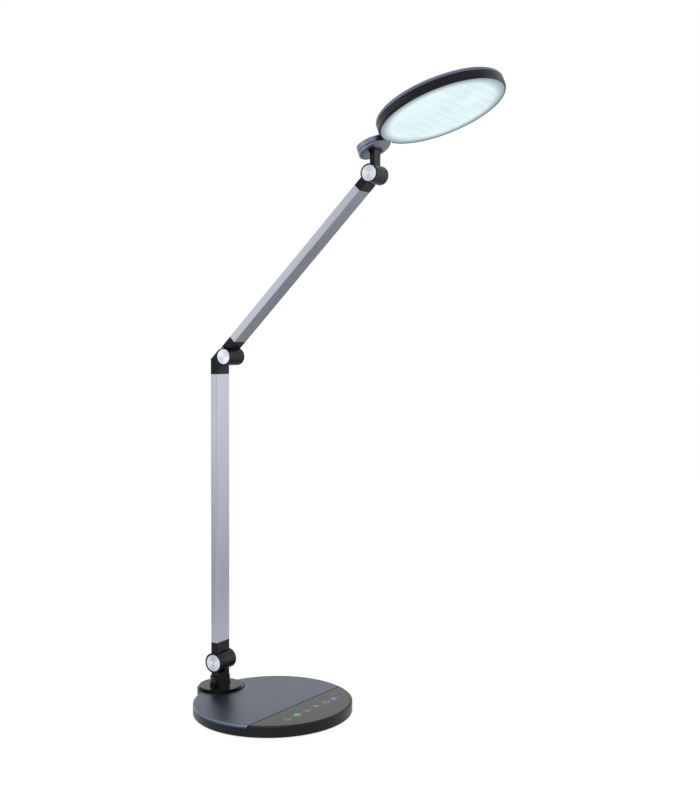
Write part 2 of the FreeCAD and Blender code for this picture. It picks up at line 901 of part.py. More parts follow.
def upper_arm_foot():
    """Bottom fitting of the upper arm with the rear barrel of the elbow."""
    y = upper_arm_raise
    width = upper_arm_width
    block = bar(width / 2, arm_depth / 2, 0.0, upper_foot_length, arm_corner, y)
    ear_room = roller(elbow_face_distance() + elbow_clearance, -width, barrel_front)
    cap_room = roller(arm_hinge_radius + part_gap, barrel_end(elbow_rear), width)
    block = block.cut(ear_room).cut(cap_room)
    plug_top = upper_foot_length + plug_length
    plug = arm_plug(width, upper_foot_length, plug_top, y)
    barrel = roller(arm_hinge_radius, barrel_front, barrel_end(elbow_rear))
    x = barrel_lead_x(elbow_rear)
    cuts = barrel_cuts(elbow_rear)
    cuts.append(rod(lead_hole_radius, (x, elbow_lead_side, chamber_middle - room), (x, y, upper_foot_length)))
    cuts.append(disc(lead_hole_radius, upper_foot_length - room, plug_top + over, x, y))
    cuts += tube_screws(upper_screw_heights()[:1], y, running_gap)
    return cut_all(join([block, barrel, plug]), cuts)


def upper_arm_head():
    """Top fitting of the upper arm with the front ear of the head hinge."""
    y = upper_arm_raise
    width = upper_arm_width
    start = upper_foot_length + upper_tube_length
    side_top = head_hinge_along - arm_hinge_radius - ear_clearance
    block = bar(width / 2, arm_depth / 2, start, head_hinge_along, arm_corner, y)
    block = block.cut(box(ear_back, width, -width, width, side_top, head_hinge_along + over))
    plug_bottom = start - plug_length
    plug = arm_plug(width, plug_bottom, start, y)
    ear = moved(roller(arm_hinge_radius, ear_front, ear_back), head_hinge_y, head_hinge_along)
    cuts = [moved(piece, head_hinge_y, head_hinge_along) for piece in ear_cuts(arm_cap_radius)]
    cuts.append(disc(lead_hole_radius, plug_bottom - over, head_hinge_along - chamber_middle, ear_lead_x, y))
    cuts += tube_screws(upper_screw_heights()[1:], y, running_gap)
    return cut_all(join([block, ear, plug]), cuts)


def lower_arm_lead():
    """Lead inside the lower arm, from the base hinge to the elbow."""
    corner, mouth = elbow_lead_mouth()
    return lead([(ear_lead_x, 0, chamber_middle), corner, mouth])


def upper_arm_lead():
    """Lead inside the upper arm, from the elbow to the head hinge."""
    y = upper_arm_raise
    tube_end = upper_foot_length + upper_tube_length
    x0, x1 = barrel_lead_x(elbow_rear), ear_lead_x
    return lead([
        (x0, elbow_lead_side, chamber_middle), (x0, y, upper_foot_length),
        (x0, y, upper_foot_length + arm_lead_straight), (x1, y, tube_end - arm_lead_straight),
        (x1, y, head_hinge_along - chamber_middle),
    ])


def wedge_height(y):
    """Height of the underside of the tilt plate at a place along Y, in the frame of the head."""
    front = -swivel_forward - swivel_radius
    share = (y - front) / (2 * swivel_radius)
    return wedge_front + (wedge_back - wedge_front) * share


def above_wedge(offset):
    """Everything above the underside of the tilt plate, lowered by an offset."""
    front = -swivel_forward - 2 * swivel_radius
    back = -swivel_forward + 2 * swivel_radius
    low_front, low_back = wedge_height(front) - offset, wedge_height(back) - offset
    roof = 2 * neck_blank_height
    outline = [(front, low_front), (back, low_back), (back, roof), (front, roof)]
    return slab(outline, -swivel_radius, swivel_radius)


def neck_screw_spots():
    """Places of the two screws that hold the neck under the tilt plate."""
    return [(-neck_screw_x, -swivel_forward), (neck_screw_x, -swivel_forward)]


def head_disc(radius, z0, z1):
    """An upright cylinder about the swivel of the head."""
    return disc(radius, z0, z1, 0, -swivel_forward)


def tilt_plate():
    """Lower half of the swivel joint, thicker at the back."""
    top = swivel_split - split_gap / 2
    plate = head_disc(swivel_radius, 0, top).common(above_wedge(0))
    slope = math.atan2(wedge_front - wedge_back, 2 * swivel_radius)
    middle = Vector(0, -swivel_forward, wedge_height(-swivel_forward))
    normal = Vector(0, math.sin(slope), math.cos(slope))
    low_radius = swivel_radius - wedge_bevel
    plate = plate.common(Part.makeCone(low_radius, low_radius + top, top, middle, normal))
    cuts = [
        head_disc(head_screw_radius + running_gap, 0, top + over),
        head_disc(head_screw_radius + head_screw_seat_step + room, 0, swivel_seat()),
        head_disc(head_washer_outer() + washer_gap, top - washer_seat, top + over),
    ]
    for x, y in neck_screw_spots():
        cuts.append(disc(neck_screw_radius + running_gap, 0, top + over, x, y))
        cuts.append(disc(neck_screw_head + washer_gap, top - neck_screw_grip, top + over, x, y))
    return cut_all(plate, cuts)


def swivel_seat():
    """Height of the face that the hollow screw's head bears on."""
    return swivel_split - head_screw_seat_drop


def head_washer_outer():
    """Radius of the washer in the swivel joint of the head."""
    return head_screw_radius + head_washer_width


def neck():
    """Neck with the rear barrel of the head hinge, in the upright frame of the neck."""
    size = arm_hinge_radius + ear_clearance
    barrel = roller(arm_hinge_radius, barrel_front, barrel_end(head_hinge_rear))
    stem = bar(neck_half_width, neck_half_depth, 0, neck_blank_height, neck_corner)
    stem = stem.cut(box(-size, barrel_front, -size, size, -over, size))
    turned = Placement(Vector(0, 0, 0), Rotation(Vector(1, 0, 0), -head_tilt))
    roof = above_wedge(0)
    collar = bar(collar_half_width, collar_half_depth, 0, neck_blank_height, collar_corner, -swivel_forward)
    collar = collar.common(above_wedge(collar_thickness)).cut(roof)
    holes = [disc(neck_screw_radius, swivel_radius, swivel_split, x, y) for x, y in neck_screw_spots()]
    holes = Part.makeCompound(holes)
    for shape in (roof, collar, holes):
        shape.Placement = turned
    body = join([barrel, stem.cut(roof), collar])
    start = (barrel_lead_x(head_hinge_rear), 0, chamber_middle - room)
    cuts = barrel_cuts(head_hinge_rear) + holes.Solids
    cuts.append(rod(head_screw_bore + washer_gap, start, neck_lead_top(over)))
    return cut_all(body, cuts)


def neck_lead_top(extra):
    """End of the lead under the swivel screw, in the upright frame of the neck."""
    height = swivel_seat() - head_screw_head_height - room + extra
    spot = Rotation(Vector(1, 0, 0), -head_tilt).multVec(Vector(0, -swivel_forward, height))
    return (spot.x, spot.y, spot.z)


def neck_lead():
    """Lead through the neck."""
    return rod(lead_radius, (barrel_lead_x(head_hinge_rear), 0, chamber_middle), neck_lead_top(0.0))


def neck_screws():
    """Screws from the tilt plate into the collar of the neck."""
    seat = swivel_split - split_gap / 2 - neck_screw_grip
    bottom = wedge_height(-swivel_forward) - collar_thickness + room
    screws = []
    for x, y in neck_screw_spots():
        shank = disc(neck_screw_radius - running_gap, bottom, seat, x, y)
        head = disc(neck_screw_head, seat, seat + neck_screw_head_height, x, y)
        screws.append(shank.fuse(head).removeSplitter())
    return screws


def head_swivel_screw():
    """Hollow shouldered screw that the head turns on."""
    seat = swivel_seat()
    head = head_disc(head_screw_radius + head_screw_seat_step, seat - head_screw_head_height, seat)
    shank = head_disc(head_screw_radius, seat, swivel_top - head_screw_tip_cover)
    bore = head_disc(head_screw_bore, 0, bracket_lead_z() + head_screw_bore)
    exit_hole = rod(head_screw_bore, bracket_lead_spot(0), bracket_lead_spot(head_screw_radius + over))
    return cut_all(head.fuse(shank), [bore, exit_hole])


def bracket_lead_z():
    """Height at which the lead runs from the swivel into the head."""
    return led_board_bottom - lead_radius - room


def bracket_lead_spot(forward):
    """A place on the lead's run from the swivel into the head."""
    return (0, -swivel_forward - forward, bracket_lead_z())


def head_swivel_washer():
    """Friction washer between the two halves of the swivel joint."""
    start = swivel_split - split_gap / 2 - washer_seat
    washer = head_disc(head_washer_outer(), start, start + friction_washer_thickness)
    return washer.cut(head_disc(head_screw_radius + running_gap, 0, swivel_top))


def tongue_end():
    """Front end of the bracket's tongue."""
    return head_forward - shell_inner_radius + tongue_reach


def tongue_screw_spots():
    """Places of the two screws that hold the bracket under the back shell."""
    y = tongue_screw_inset - tongue_end()
    return [(-tongue_screw_x, y), (tongue_screw_x, y)]


def bracket_low():
    """Underside of the bracket where it enters the head, above the flange of the diffuser."""
    return head_step + diffuser_flange + room


def head_bracket():
    """Upper half of the swivel joint, with the tongue that carries the head."""
    bottom = swivel_split + split_gap / 2
    half = tongue_half_width
    board_y = led_board_radius + room - head_forward
    wall_y = shell_inner_radius - tongue_wall_gap - head_forward
    puck = head_disc(swivel_radius, bottom, swivel_top)
    riser = box(-half, half, board_y, -swivel_forward, bracket_low(), swivel_top)
    upright = box(-half, half, board_y, wall_y, bracket_low(), shell_roof)
    tongue = box(-half, half, -tongue_end(), wall_y, shell_roof - tongue_thickness, shell_roof)
    cuts = [
        head_disc(head_screw_radius, 0, swivel_top - head_screw_tip_cover + washer_gap),
        head_disc(head_washer_outer() + washer_gap, 0, bottom + washer_seat + running_gap),
        rod(head_screw_bore + lead_gap, bracket_lead_spot(0), bracket_lead_spot(2 * swivel_radius)),
    ]
    cuts += [tongue_screw(x, y, running_gap) for x, y in tongue_screw_spots()]
    return cut_all(join([puck, riser, upright, tongue]), cuts)


def tongue_screw(x, y, gap):
    """One countersunk screw through the tongue, or its hole if a gap is given."""
    bottom = shell_roof - tongue_thickness
    wide, narrow = tongue_screw_head + gap, tongue_screw_radius + gap
    head = Part.makeCone(wide, narrow, tongue_screw_head_height, Vector(x, y, bottom), Vector(0, 0, 1))
    return head.fuse(disc(narrow, bottom, shell_roof + tongue_screw_bite, x, y)).removeSplitter()


def tongue_screws():
    """Two countersunk screws of the bracket."""
    return [tongue_screw(x, y, 0.0) for x, y in tongue_screw_spots()]


def head_notch():
    """Room of the swivel joint in the rim of the head."""
    return head_disc(swivel_radius + notch_gap, 0, head_band_bottom)


def tongue_slot(z0, z1):
    """Room of the bracket where it enters the head."""
    half = tongue_half_width + room
    return box(-half, half, led_board_radius - head_forward, -swivel_forward, z0, z1)


def shell_screw_spots():
    """Places of the screws that hold the board and the heat plate."""
    circle = around(led_board_radius - shell_screw_margin, shell_screw_turns)
    return [(x, y - head_forward) for x, y in circle]


def head_shell():
    """Slate back shell of the head, with a spigot that centres it in the rim."""
    spigot_radius_outer = shell_inner_radius + shell_spigot_wall
    spigot_bottom = head_band_bottom - shell_spigot_depth
    profile = [
        (0, shell_roof), (shell_inner_radius, shell_roof), (shell_inner_radius, spigot_bottom),
        (spigot_radius_outer, spigot_bottom), (spigot_radius_outer, head_band_bottom),
        (head_radius, head_band_bottom), (head_radius, head_top), (0, head_top),
    ]
    shell = lathe(profile, 0, -head_forward)
    rim = [edge for edge in shell.Edges if edge.BoundBox.ZMin > head_top - part_gap]
    shell = shell.makeFillet(head_round, rim).cut(tongue_slot(0, swivel_top + room))
    low = led_board_bottom + led_board_thickness + heat_plate_thickness
    bosses = [disc(shell_screw_boss, low, shell_roof + over, x, y) for x, y in shell_screw_spots()]
    hole_end = head_top - shell_screw_end + room
    holes = [disc(shell_screw_radius, 0, hole_end, x, y) for x, y in shell_screw_spots()]
    holes += [tongue_screw(x, y, 0.0) for x, y in tongue_screw_spots()]
    return cut_all(join([shell] + bosses), holes)


def head_rim():
    """Black ring round the light with the lip that holds the diffuser."""
    mouth = diffuser_radius + part_gap
    inner = head_radius - rim_wall
    groove_bottom = head_band_bottom - rim_groove
    groove_radius = head_radius - rim_groove_depth
    profile = [
        (mouth, head_lip_bottom), (head_radius - head_lip_inset, head_lip_bottom),
        (head_radius, head_lip_bottom + head_lip_bevel), (head_radius, groove_bottom),
        (groove_radius, groove_bottom), (groove_radius, head_band_bottom),
        (inner, head_band_bottom), (inner, head_step), (mouth, head_step),
    ]
    slot = tongue_slot(head_step + diffuser_flange, head_top)
    return cut_all(lathe(profile, 0, -head_forward), [head_notch(), slot])


def screwed_disc(z0, z1):
    """A round plate in the head with the holes of its screws."""
    plate = disc(led_board_radius, z0, z1, 0, -head_forward)
    hole = shell_screw_radius + running_gap
    return cut_all(plate, [disc(hole, 0, head_top, x, y) for x, y in shell_screw_spots()])


def led_board():
    """Round circuit board that carries the light sources."""
    return screwed_disc(led_board_bottom, led_board_bottom + led_board_thickness)


def heat_plate():
    """Aluminium plate behind the board."""
    bottom = led_board_bottom + led_board_thickness
    return screwed_disc(bottom, bottom + heat_plate_thickness)


def led_spots():
    """Grid places on the board that are clear of its edge and its screws."""
    reach = led_board_radius - led_margin
    steps = int(reach // led_pitch)
    spots = []
    for column in range(-steps, steps + 1):
        for row in range(-steps, steps + 1):
            x, y = column * led_pitch, row * led_pitch - head_forward
            nearest = min(math.hypot(x - sx, y - sy) for sx, sy in shell_screw_spots())
            if math.hypot(x, y + head_forward) <= reach and nearest >= led_size + led_screw_gap:
                spots.append((x, y))
    return spots


def leds():
    """Small square light sources in a grid."""
    half = led_size / 2
    low = led_board_bottom - led_height
    return [box(x - half, x + half, y - half, y + half, low, led_board_bottom) for x, y in led_spots()]


def head_screws():
    """Pan-headed screws through board and heat plate."""
    screws = []
    for x, y in shell_screw_spots():
        head = disc(shell_screw_head, led_board_bottom - shell_screw_head_height, led_board_bottom, x, y)
        shank = disc(shell_screw_radius - running_gap, led_board_bottom, head_top - shell_screw_end, x, y)
        screws.append(head.fuse(shank).removeSplitter())
    return screws


def head_lead():
    """Lead from the swivel to the board in the head."""
    start = (0, -swivel_forward, swivel_seat() - head_screw_head_height + room)
    end = bracket_lead_spot(head_forward - led_board_radius - swivel_forward + lead_bend)
    return lead([start, bracket_lead_spot(0), end], head_screw_bore + room)


def diffuser():
    """Opal disc that the light comes through, hung in the rim by its flange."""
    pane = disc(diffuser_radius, diffuser_face, head_step, 0, -head_forward)
    flange_radius = head_radius - rim_wall - part_gap
    flange = disc(flange_radius, head_step, head_step + diffuser_flange, 0, -head_forward)
    return pane.fuse(flange).cut(head_notch()).removeSplitter()


def placed(shape, frame):
    """One solid or a group of solids moved into its place."""
    if isinstance(shape, list):
        shape = Part.makeCompound(shape)
    copy = shape.copy()
    copy.Placement = frame.multiply(copy.Placement)
    return copy


def hinge_caps(name, ear_frame, barrel_frame, cap_radius, radius, rear):
    """Polished front cap and black rear cap of one hinge."""
    return {
        name + "_cap": placed(hinge_front_cap(cap_radius), ear_frame),
        name + "_rear_cap": placed(hinge_rear_cap(radius, rear), barrel_frame),
    }


def hinge_fasteners(name, places):
    """Bolts, nuts and washers of the hinges that ride with one arm, as groups."""
    kinds = ("_bolts", "_nuts", "_spring_washers", "_friction_washers")
    groups = {name + kind: [] for kind in kinds}
    for frame, rear in places:
        groups[name + "_bolts"].append(placed(hinge_bolt(rear), frame))
        groups[name + "_nuts"].append(placed(hinge_nut(rear), frame))
        groups[name + "_spring_washers"].append(placed(hinge_spring_washer(rear), frame))
        groups[name + "_friction_washers"].append(placed(hinge_friction_washer(), frame))
    return {group: Part.makeCompound(pieces) for group, pieces in groups.items()}


def all_nodes():
    """Every piece of the lamp under its name, in its place."""
    base = Placement()
    nodes = {
        "base_housing": placed(base_housing(), base),
        "base_floor": placed(base_floor(), base),
        "grip_pad": placed(grip_pad(), base),
        "base_screws": placed(base_screws(), base),
        "base_weight": placed(base_weight(), base),
        "top_plate": placed(top_plate(), base),
        "control_panel": placed(control_panel(), base),
        "touch_board": placed(touch_board(), base),
        "touch_pads": placed(touch_pads(), base),
        "indicator_lights": placed(indicator_lights(), base),
        "power_inlet": placed(power_inlet(), base),
        "base_leads": placed(base_leads(), base),
        "pivot_cap": placed(pivot_cap(), base),
        "post": placed(post(), swivel_frame),
        "swivel_washer": placed(swivel_washer(), swivel_frame),
        "swivel_nut": placed(swivel_nut(), swivel_frame),
        "post_lead": placed(post_lead(), swivel_frame),
        "lower_arm_foot": placed(lower_arm_foot(), lower_frame),
        "lower_arm_tube": placed(lower_arm_tube(), lower_frame),
        "lower_arm_head": placed(lower_arm_head(), lower_frame),
        "lower_arm_screws": placed(tube_screws(lower_screw_heights()), lower_frame),
        "lower_arm_lead": placed(lower_arm_lead(), lower_frame),
        "upper_arm_foot": placed(upper_arm_foot(), upper_frame),
        "upper_arm_tube": placed(upper_arm_tube(), upper_frame),
        "upper_arm_head": placed(upper_arm_head(), upper_frame),
        "upper_arm_screws": placed(tube_screws(upper_screw_heights(), upper_arm_raise), upper_frame),
        "upper_arm_lead": placed(upper_arm_lead(), upper_frame),
        "neck": placed(neck(), neck_frame),
        "neck_lead": placed(neck_lead(), neck_frame),
        "tilt_plate": placed(tilt_plate(), head_frame),
        "neck_screws": placed(neck_screws(), head_frame),
        "head_swivel_screw": placed(head_swivel_screw(), head_frame),
        "head_swivel_washer": placed(head_swivel_washer(), head_frame),
        "head_bracket": placed(head_bracket(), head_frame),
        "bracket_screws": placed(tongue_screws(), head_frame),
        "head_shell": placed(head_shell(), head_frame),
        "head_rim": placed(head_rim(), head_frame),
        "diffuser": placed(diffuser(), head_frame),
        "led_board": placed(led_board(), head_frame),
        "leds": placed(leds(), head_frame),
        "heat_plate": placed(heat_plate(), head_frame),
        "head_screws": placed(head_screws(), head_frame),
        "head_lead": placed(head_lead(), head_frame),
    }
    post_top = swivel_frame * Placement(Vector(0, 0, base_hinge_z), Rotation())
    arm_end = lower_frame * Placement(elbow_point, Rotation())
    head_end = upper_frame * Placement(head_hinge_point, Rotation())
    hinges = [
        ("base_hinge", lower_frame, post_top, base_cap_radius, base_hinge_radius, base_hinge_rear),
        ("elbow", arm_end, upper_frame, arm_cap_radius, arm_hinge_radius, elbow_rear),
        ("head_hinge", head_end, neck_frame, arm_cap_radius, arm_hinge_radius, head_hinge_rear),
    ]
    for hinge in hinges:
        nodes.update(hinge_caps(*hinge))
    nodes.update(hinge_fasteners("lower_arm_hinge", [(lower_frame, base_hinge_rear), (arm_end, elbow_rear)]))
    nodes.update(hinge_fasteners("upper_arm_hinge", [(head_end, head_hinge_rear)]))
    return nodes


os.makedirs("parts", exist_ok=True)
for name, shape in all_nodes().items():
    shape.exportStep("parts/" + name + ".step")
    print(name, len(shape.Solids), round(shape.Volume, 1), shape.isValid())
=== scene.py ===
"""Looks of a table lamp: finishes, touch marks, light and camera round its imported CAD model."""
import logging
import math
from dataclasses import dataclass, field
from enum import Enum
from typing import Sequence

import bmesh
import bpy
from mathutils import Matrix, Vector


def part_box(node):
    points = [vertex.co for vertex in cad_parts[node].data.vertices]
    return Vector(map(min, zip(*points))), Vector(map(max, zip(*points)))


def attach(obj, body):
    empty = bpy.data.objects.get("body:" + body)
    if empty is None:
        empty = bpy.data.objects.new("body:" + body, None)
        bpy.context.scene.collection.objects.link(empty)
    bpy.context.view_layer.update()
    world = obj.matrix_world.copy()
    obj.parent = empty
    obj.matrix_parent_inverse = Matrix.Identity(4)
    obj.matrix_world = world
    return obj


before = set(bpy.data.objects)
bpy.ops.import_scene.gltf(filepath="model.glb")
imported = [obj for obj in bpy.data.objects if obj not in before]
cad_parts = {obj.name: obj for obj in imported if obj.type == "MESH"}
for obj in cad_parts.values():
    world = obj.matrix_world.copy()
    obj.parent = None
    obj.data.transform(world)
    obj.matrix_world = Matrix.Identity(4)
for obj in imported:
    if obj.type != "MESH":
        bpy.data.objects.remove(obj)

LOG = logging.getLogger("lamp")
Colour = tuple[float, float, float]
Triple = tuple[float, float, float]
Pair = tuple[float, float]
Socket = bpy.types.NodeSocket

MM = 0.001
NOISE_REACH: Pair = (0.3, 0.7)


class Body(Enum):
    """Rigid bodies that the classes below name, as the frame does."""

    BASE = "base"
    LOWER_ARM = "lower_arm"
    UPPER_ARM = "upper_arm"


class Light(Enum):
    """State of a touch field's mark."""

    OFF = "unlit"
    GREEN = "green"
    BLUE = "blue"


class Symbol(Enum):
    """Pictures on the touch fields."""

    POWER = "power"
    WARMTH = "warmth"
    DIMMER = "dimmer"
    BRIGHTER = "brighter"
    TIMER = "timer"
    NIGHT = "night"


def tone(red: int, green: int, blue: int) -> Colour:
    """Return a linear colour.

    Args:
        red: Display value from 0 to 255.
        green: Display value from 0 to 255.
        blue: Display value from 0 to 255.

    Returns:
        The colour as a shader takes it.
    """
    shares = (value / 255 for value in (red, green, blue))
    return tuple(s / 12.92 if s <= 0.04045 else ((s + 0.055) / 1.055) ** 2.4 for s in shares)


def turn(axis: str, degrees: float) -> Matrix:
    """Return a rotation about a main axis.

    Args:
        axis: "X", "Y" or "Z".
        degrees: Angle by the right-hand rule.

    Returns:
        A 4x4 matrix.
    """
    return Matrix.Rotation(math.radians(degrees), 4, axis)


def placed(name: str, data: bpy.types.ID) -> bpy.types.Object:
    """Put a new object in the scene.

    Args:
        name: Its name.
        data: Its mesh, light or camera.

    Returns:
        The object.
    """
    item = bpy.data.objects.new(name, data)
    bpy.context.scene.collection.objects.link(item)
    return item


def solid(name: str, form: bmesh.types.BMesh) -> bpy.types.Object:
    """Put a form in the scene.

    Args:
        name: Its name.
        form: Its faces, which are freed.

    Returns:
        The object.
    """
    mesh = bpy.data.meshes.new(name)
    form.to_mesh(mesh)
    form.free()
    return placed(name, mesh)


@dataclass(frozen=True)
class Layout:
    """Places shared with the CAD model, in metres and degrees."""

    pivot_y: float = 0.084
    arm_swivel: float = 5.0
    base_hinge_z: float = 0.0471
    lower_arm_lean: float = 0.35
    elbow_along: float = 0.3764
    elbow_forward: float = 0.01575
    upper_arm_rise: float = 44.2
    upper_arm_raise: float = 0.00715
    head_hinge_along: float = 0.2856
    head_hinge_drop: float = 0.0011
    head_tilt: float = 21.2
    head_forward: float = 0.0988

    def post(self) -> Matrix:
        """Return the frame of the turned arms, upright at the pivot."""
        return Matrix.Translation((0, self.pivot_y, 0)) @ turn("Z", self.arm_swivel)

    def lower(self) -> Matrix:
        """Return the frame of the lower arm, at the base hinge."""
        return self.post() @ Matrix.Translation((0, 0, self.base_hinge_z)) @ turn("X", self.lower_arm_lean)

    def upper(self) -> Matrix:
        """Return the frame of the upper arm, at the elbow."""
        bend = 90 - self.upper_arm_rise - self.lower_arm_lean
        return self.lower() @ Matrix.Translation((0, -self.elbow_forward, self.elbow_along)) @ turn("X", bend)

    def neck(self) -> Matrix:
        """Return the upright frame of the neck, at the head hinge."""
        spot = (0, self.upper_arm_raise - self.head_hinge_drop, self.head_hinge_along)
        return self.upper() @ Matrix.Translation(spot) @ turn("X", self.upper_arm_rise - 90)

    def head(self) -> Matrix:
        """Return the frame of the head, square to its light."""
        return self.neck() @ turn("X", -self.head_tilt)

    def light(self) -> Matrix:
        """Return the frame of the round light, at its middle."""
        return self.head() @ Matrix.Translation((0, -self.head_forward, 0))


class Nodes:
    """A node tree, with short calls for the nodes that finishes and room share."""

    def __init__(self, tree: bpy.types.NodeTree) -> None:
        """Start from an empty tree.

        Args:
            tree: The tree, which is cleared.
        """
        self.tree = tree
        self.tree.nodes.clear()

    def add(self, kind: str, **values: object) -> bpy.types.Node:
        """Return a new node.

        Args:
            kind: Its kind, without Blender's prefix.
            values: Values of its inputs, as for fill.

        Returns:
            The node.
        """
        node = self.tree.nodes.new(f"ShaderNode{kind}")
        self.fill(node, **values)
        return node

    def fill(self, node: bpy.types.Node, **values: object) -> None:
        """Set inputs of a node.

        Args:
            node: The node.
            values: Each input's value, under its name with underscores for the spaces.
        """
        for name, value in values.items():
            self.feed(node.inputs[name.replace("_", " ")], value)

    def feed(self, target: Socket, value: object) -> None:
        """Set a socket.

        Args:
            target: The socket.
            value: A number, a tuple of three or another socket.
        """
        if isinstance(value, bpy.types.NodeSocket):
            self.tree.links.new(value, target)
        elif target.type == "RGBA":
            target.default_value = (*value, 1.0)
        else:
            target.default_value = value

    def operate(self, kind: str, operation: str, values: Sequence[object]) -> bpy.types.Node:
        """Return a node that works on values.

        Args:
            kind: "Math" or "VectorMath".
            operation: Blender's name of the operation.
            values: Numbers, tuples or sockets, in the order of its inputs.

        Returns:
            The node.
        """
        node = self.add(kind)
        node.operation = operation
        for socket, value in zip(node.inputs, values):
            self.feed(socket, value)
        return node

    def maths(self, operation: str, *values: object) -> Socket:
        """Return the result of a Math node."""
        return self.operate("Math", operation, values).outputs[0]

    def vector(self, operation: str, *values: object) -> Socket:
        """Return the vector from a Vector Math node."""
        return self.operate("VectorMath", operation, values).outputs["Vector"]

    def measure(self, operation: str, *values: object) -> Socket:
        """Return the number from a Vector Math node."""
        return self.operate("VectorMath", operation, values).outputs["Value"]

    def span(self, value: object, ends: Pair, goals: Pair, smooth: bool = False) -> Socket:
        """Return a value carried from one range to another, and held at its ends.

        Args:
            value: Number to carry.
            ends: The range it comes from.
            goals: The range it goes to.
            smooth: Whether it eases in and out.

        Returns:
            The carried value.
        """
        node = self.add("MapRange")
        node.interpolation_type = "SMOOTHSTEP" if smooth else "LINEAR"
        self.fill(node, Value=value, From_Min=ends[0], From_Max=ends[1], To_Min=goals[0], To_Max=goals[1])
        return node.outputs["Result"]


class Graph(Nodes):
    """A material's node tree, with its shader and the patterns that the finishes use."""

    def __init__(self, name: str) -> None:
        """Make a material with a plain shader.

        Args:
            name: Name of the material.
        """
        self.material = bpy.data.materials.new(name)
        self.material.use_nodes = True
        super().__init__(self.material.node_tree)
        self.shader = self.add("BsdfPrincipled")
        self.add("OutputMaterial", Surface=self.shader.outputs[0])
        self.coords = self.add("TexCoord").outputs["Object"]

    def noise(self, scale: float, detail: float = 3.0, where: Socket | None = None) -> Socket:
        """Return a noise value from 0 to 1.

        Args:
            scale: Waves to a metre.
            detail: Finer layers on top.
            where: Coordinates to read it at, if not the plain ones.

        Returns:
            The value.
        """
        spot = self.coords if where is None else where
        return self.add("TexNoise", Vector=spot, Scale=scale, Detail=detail).outputs["Fac"]

    def rings(self, reach: object, scale: float) -> Socket:
        """Return a noise value that changes along one number only.

        Args:
            reach: The number.
            scale: Waves to a metre.

        Returns:
            The value.
        """
        node = self.add("TexNoise")
        node.noise_dimensions = "1D"
        self.fill(node, W=reach, Scale=scale)
        return node.outputs["Fac"]

    def cells(self, scale: float, feature: str = "F1") -> Socket:
        """Return a distance in a pattern of cells.

        Args:
            scale: Cells to a metre.
            feature: Which distance.

        Returns:
            The distance.
        """
        node = self.add("TexVoronoi")
        node.feature = feature
        self.fill(node, Vector=self.coords, Scale=scale)
        return node.outputs["Distance"]

    def vary(self, noise: object, low: float, high: float) -> Socket:
        """Return a number that follows a noise from a low end to a high one."""
        return self.span(noise, NOISE_REACH, (low, high))

    def mixed(self, first: Socket, second: Socket, share: float) -> Socket:
        """Return a sum of two numbers.

        Args:
            first: The number that counts for the share.
            second: The number that counts for the rest.
            share: From 0 to 1.

        Returns:
            The sum.
        """
        parts = (self.maths("MULTIPLY", first, share), self.maths("MULTIPLY", second, 1 - share))
        return self.maths("ADD", *parts)

    def blend(self, factor: object, first: object, second: object) -> Socket:
        """Return a colour between two colours.

        Args:
            factor: 0 for the first and 1 for the second.
            first: A colour or a socket.
            second: A colour or a socket.

        Returns:
            The blended colour.
        """
        node = self.add("Mix")
        node.data_type = "RGBA"
        for index, value in ((0, factor), (6, first), (7, second)):
            self.feed(node.inputs[index], value)
        return node.outputs[2]

    def bump(self, height: object, strength: float, distance: float = 0.02 * MM) -> None:
        """Give the shader a fine relief.

        Args:
            height: The relief.
            strength: Share of it that counts.
            distance: Its full height.
        """
        node = self.add("Bump", Strength=strength, Distance=distance, Height=height)
        self.set(Normal=node.outputs[0])

    def set(self, **values: object) -> None:
        """Set inputs of the shader, as fill does."""
        self.fill(self.shader, **values)

    def colour(self) -> Socket:
        """Return the colour that feeds the shader so far."""
        return self.shader.inputs["Base Color"].links[0].from_socket

    def axes(self, place: Matrix) -> tuple[Socket, Socket, Socket]:
        """Return the coordinates of a point in another frame.

        Args:
            place: The frame, in the lamp's own frame.

        Returns:
            Three sockets, along the frame's X, Y and Z.
        """
        offset = self.vector("SUBTRACT", self.coords, tuple(place.translation))
        turned = place.to_3x3()
        return tuple(self.measure("DOT_PRODUCT", offset, tuple(turned.col[i])) for i in range(3))

    def length(self, first: Socket, second: Socket) -> Socket:
        """Return the length of a flat offset."""
        squares = (self.maths("MULTIPLY", part, part) for part in (first, second))
        return self.maths("SQRT", self.maths("ADD", *squares))

    def stretched(self, along: Vector, share: float) -> Socket:
        """Return the coordinates drawn out along a direction, for lines that run that way.

        Args:
            along: The direction.
            share: 0 for the plain coordinates, and near 1 for long lines.

        Returns:
            The coordinates.
        """
        reach = self.measure("DOT_PRODUCT", self.coords, tuple(along))
        return self.vector("SUBTRACT", self.coords, self.vector("MULTIPLY", tuple(along * share), reach))


def shades(colour: Colour, spread: float) -> tuple[Colour, Colour]:
    """Return a darker and a lighter shade.

    Args:
        colour: The middle shade.
        spread: Share by which the two depart from it.

    Returns:
        The darker shade and the lighter one.
    """
    darker = tuple(part * (1 - spread) for part in colour)
    lighter = tuple(min(1.0, part * (1 + spread)) for part in colour)
    return darker, lighter


@dataclass(frozen=True)
class Finish:
    """Look of a surface, which makes its own material."""

    name: str

    def build(self) -> bpy.types.Material:
        """Make a material with this look.

        Returns:
            The material.
        """
        graph = Graph(self.name)
        self.paint(graph)
        return graph.material

    def paint(self, graph: Graph) -> None:
        """Lay the look on a material's nodes.

        Args:
            graph: The nodes.
        """
        raise NotImplementedError


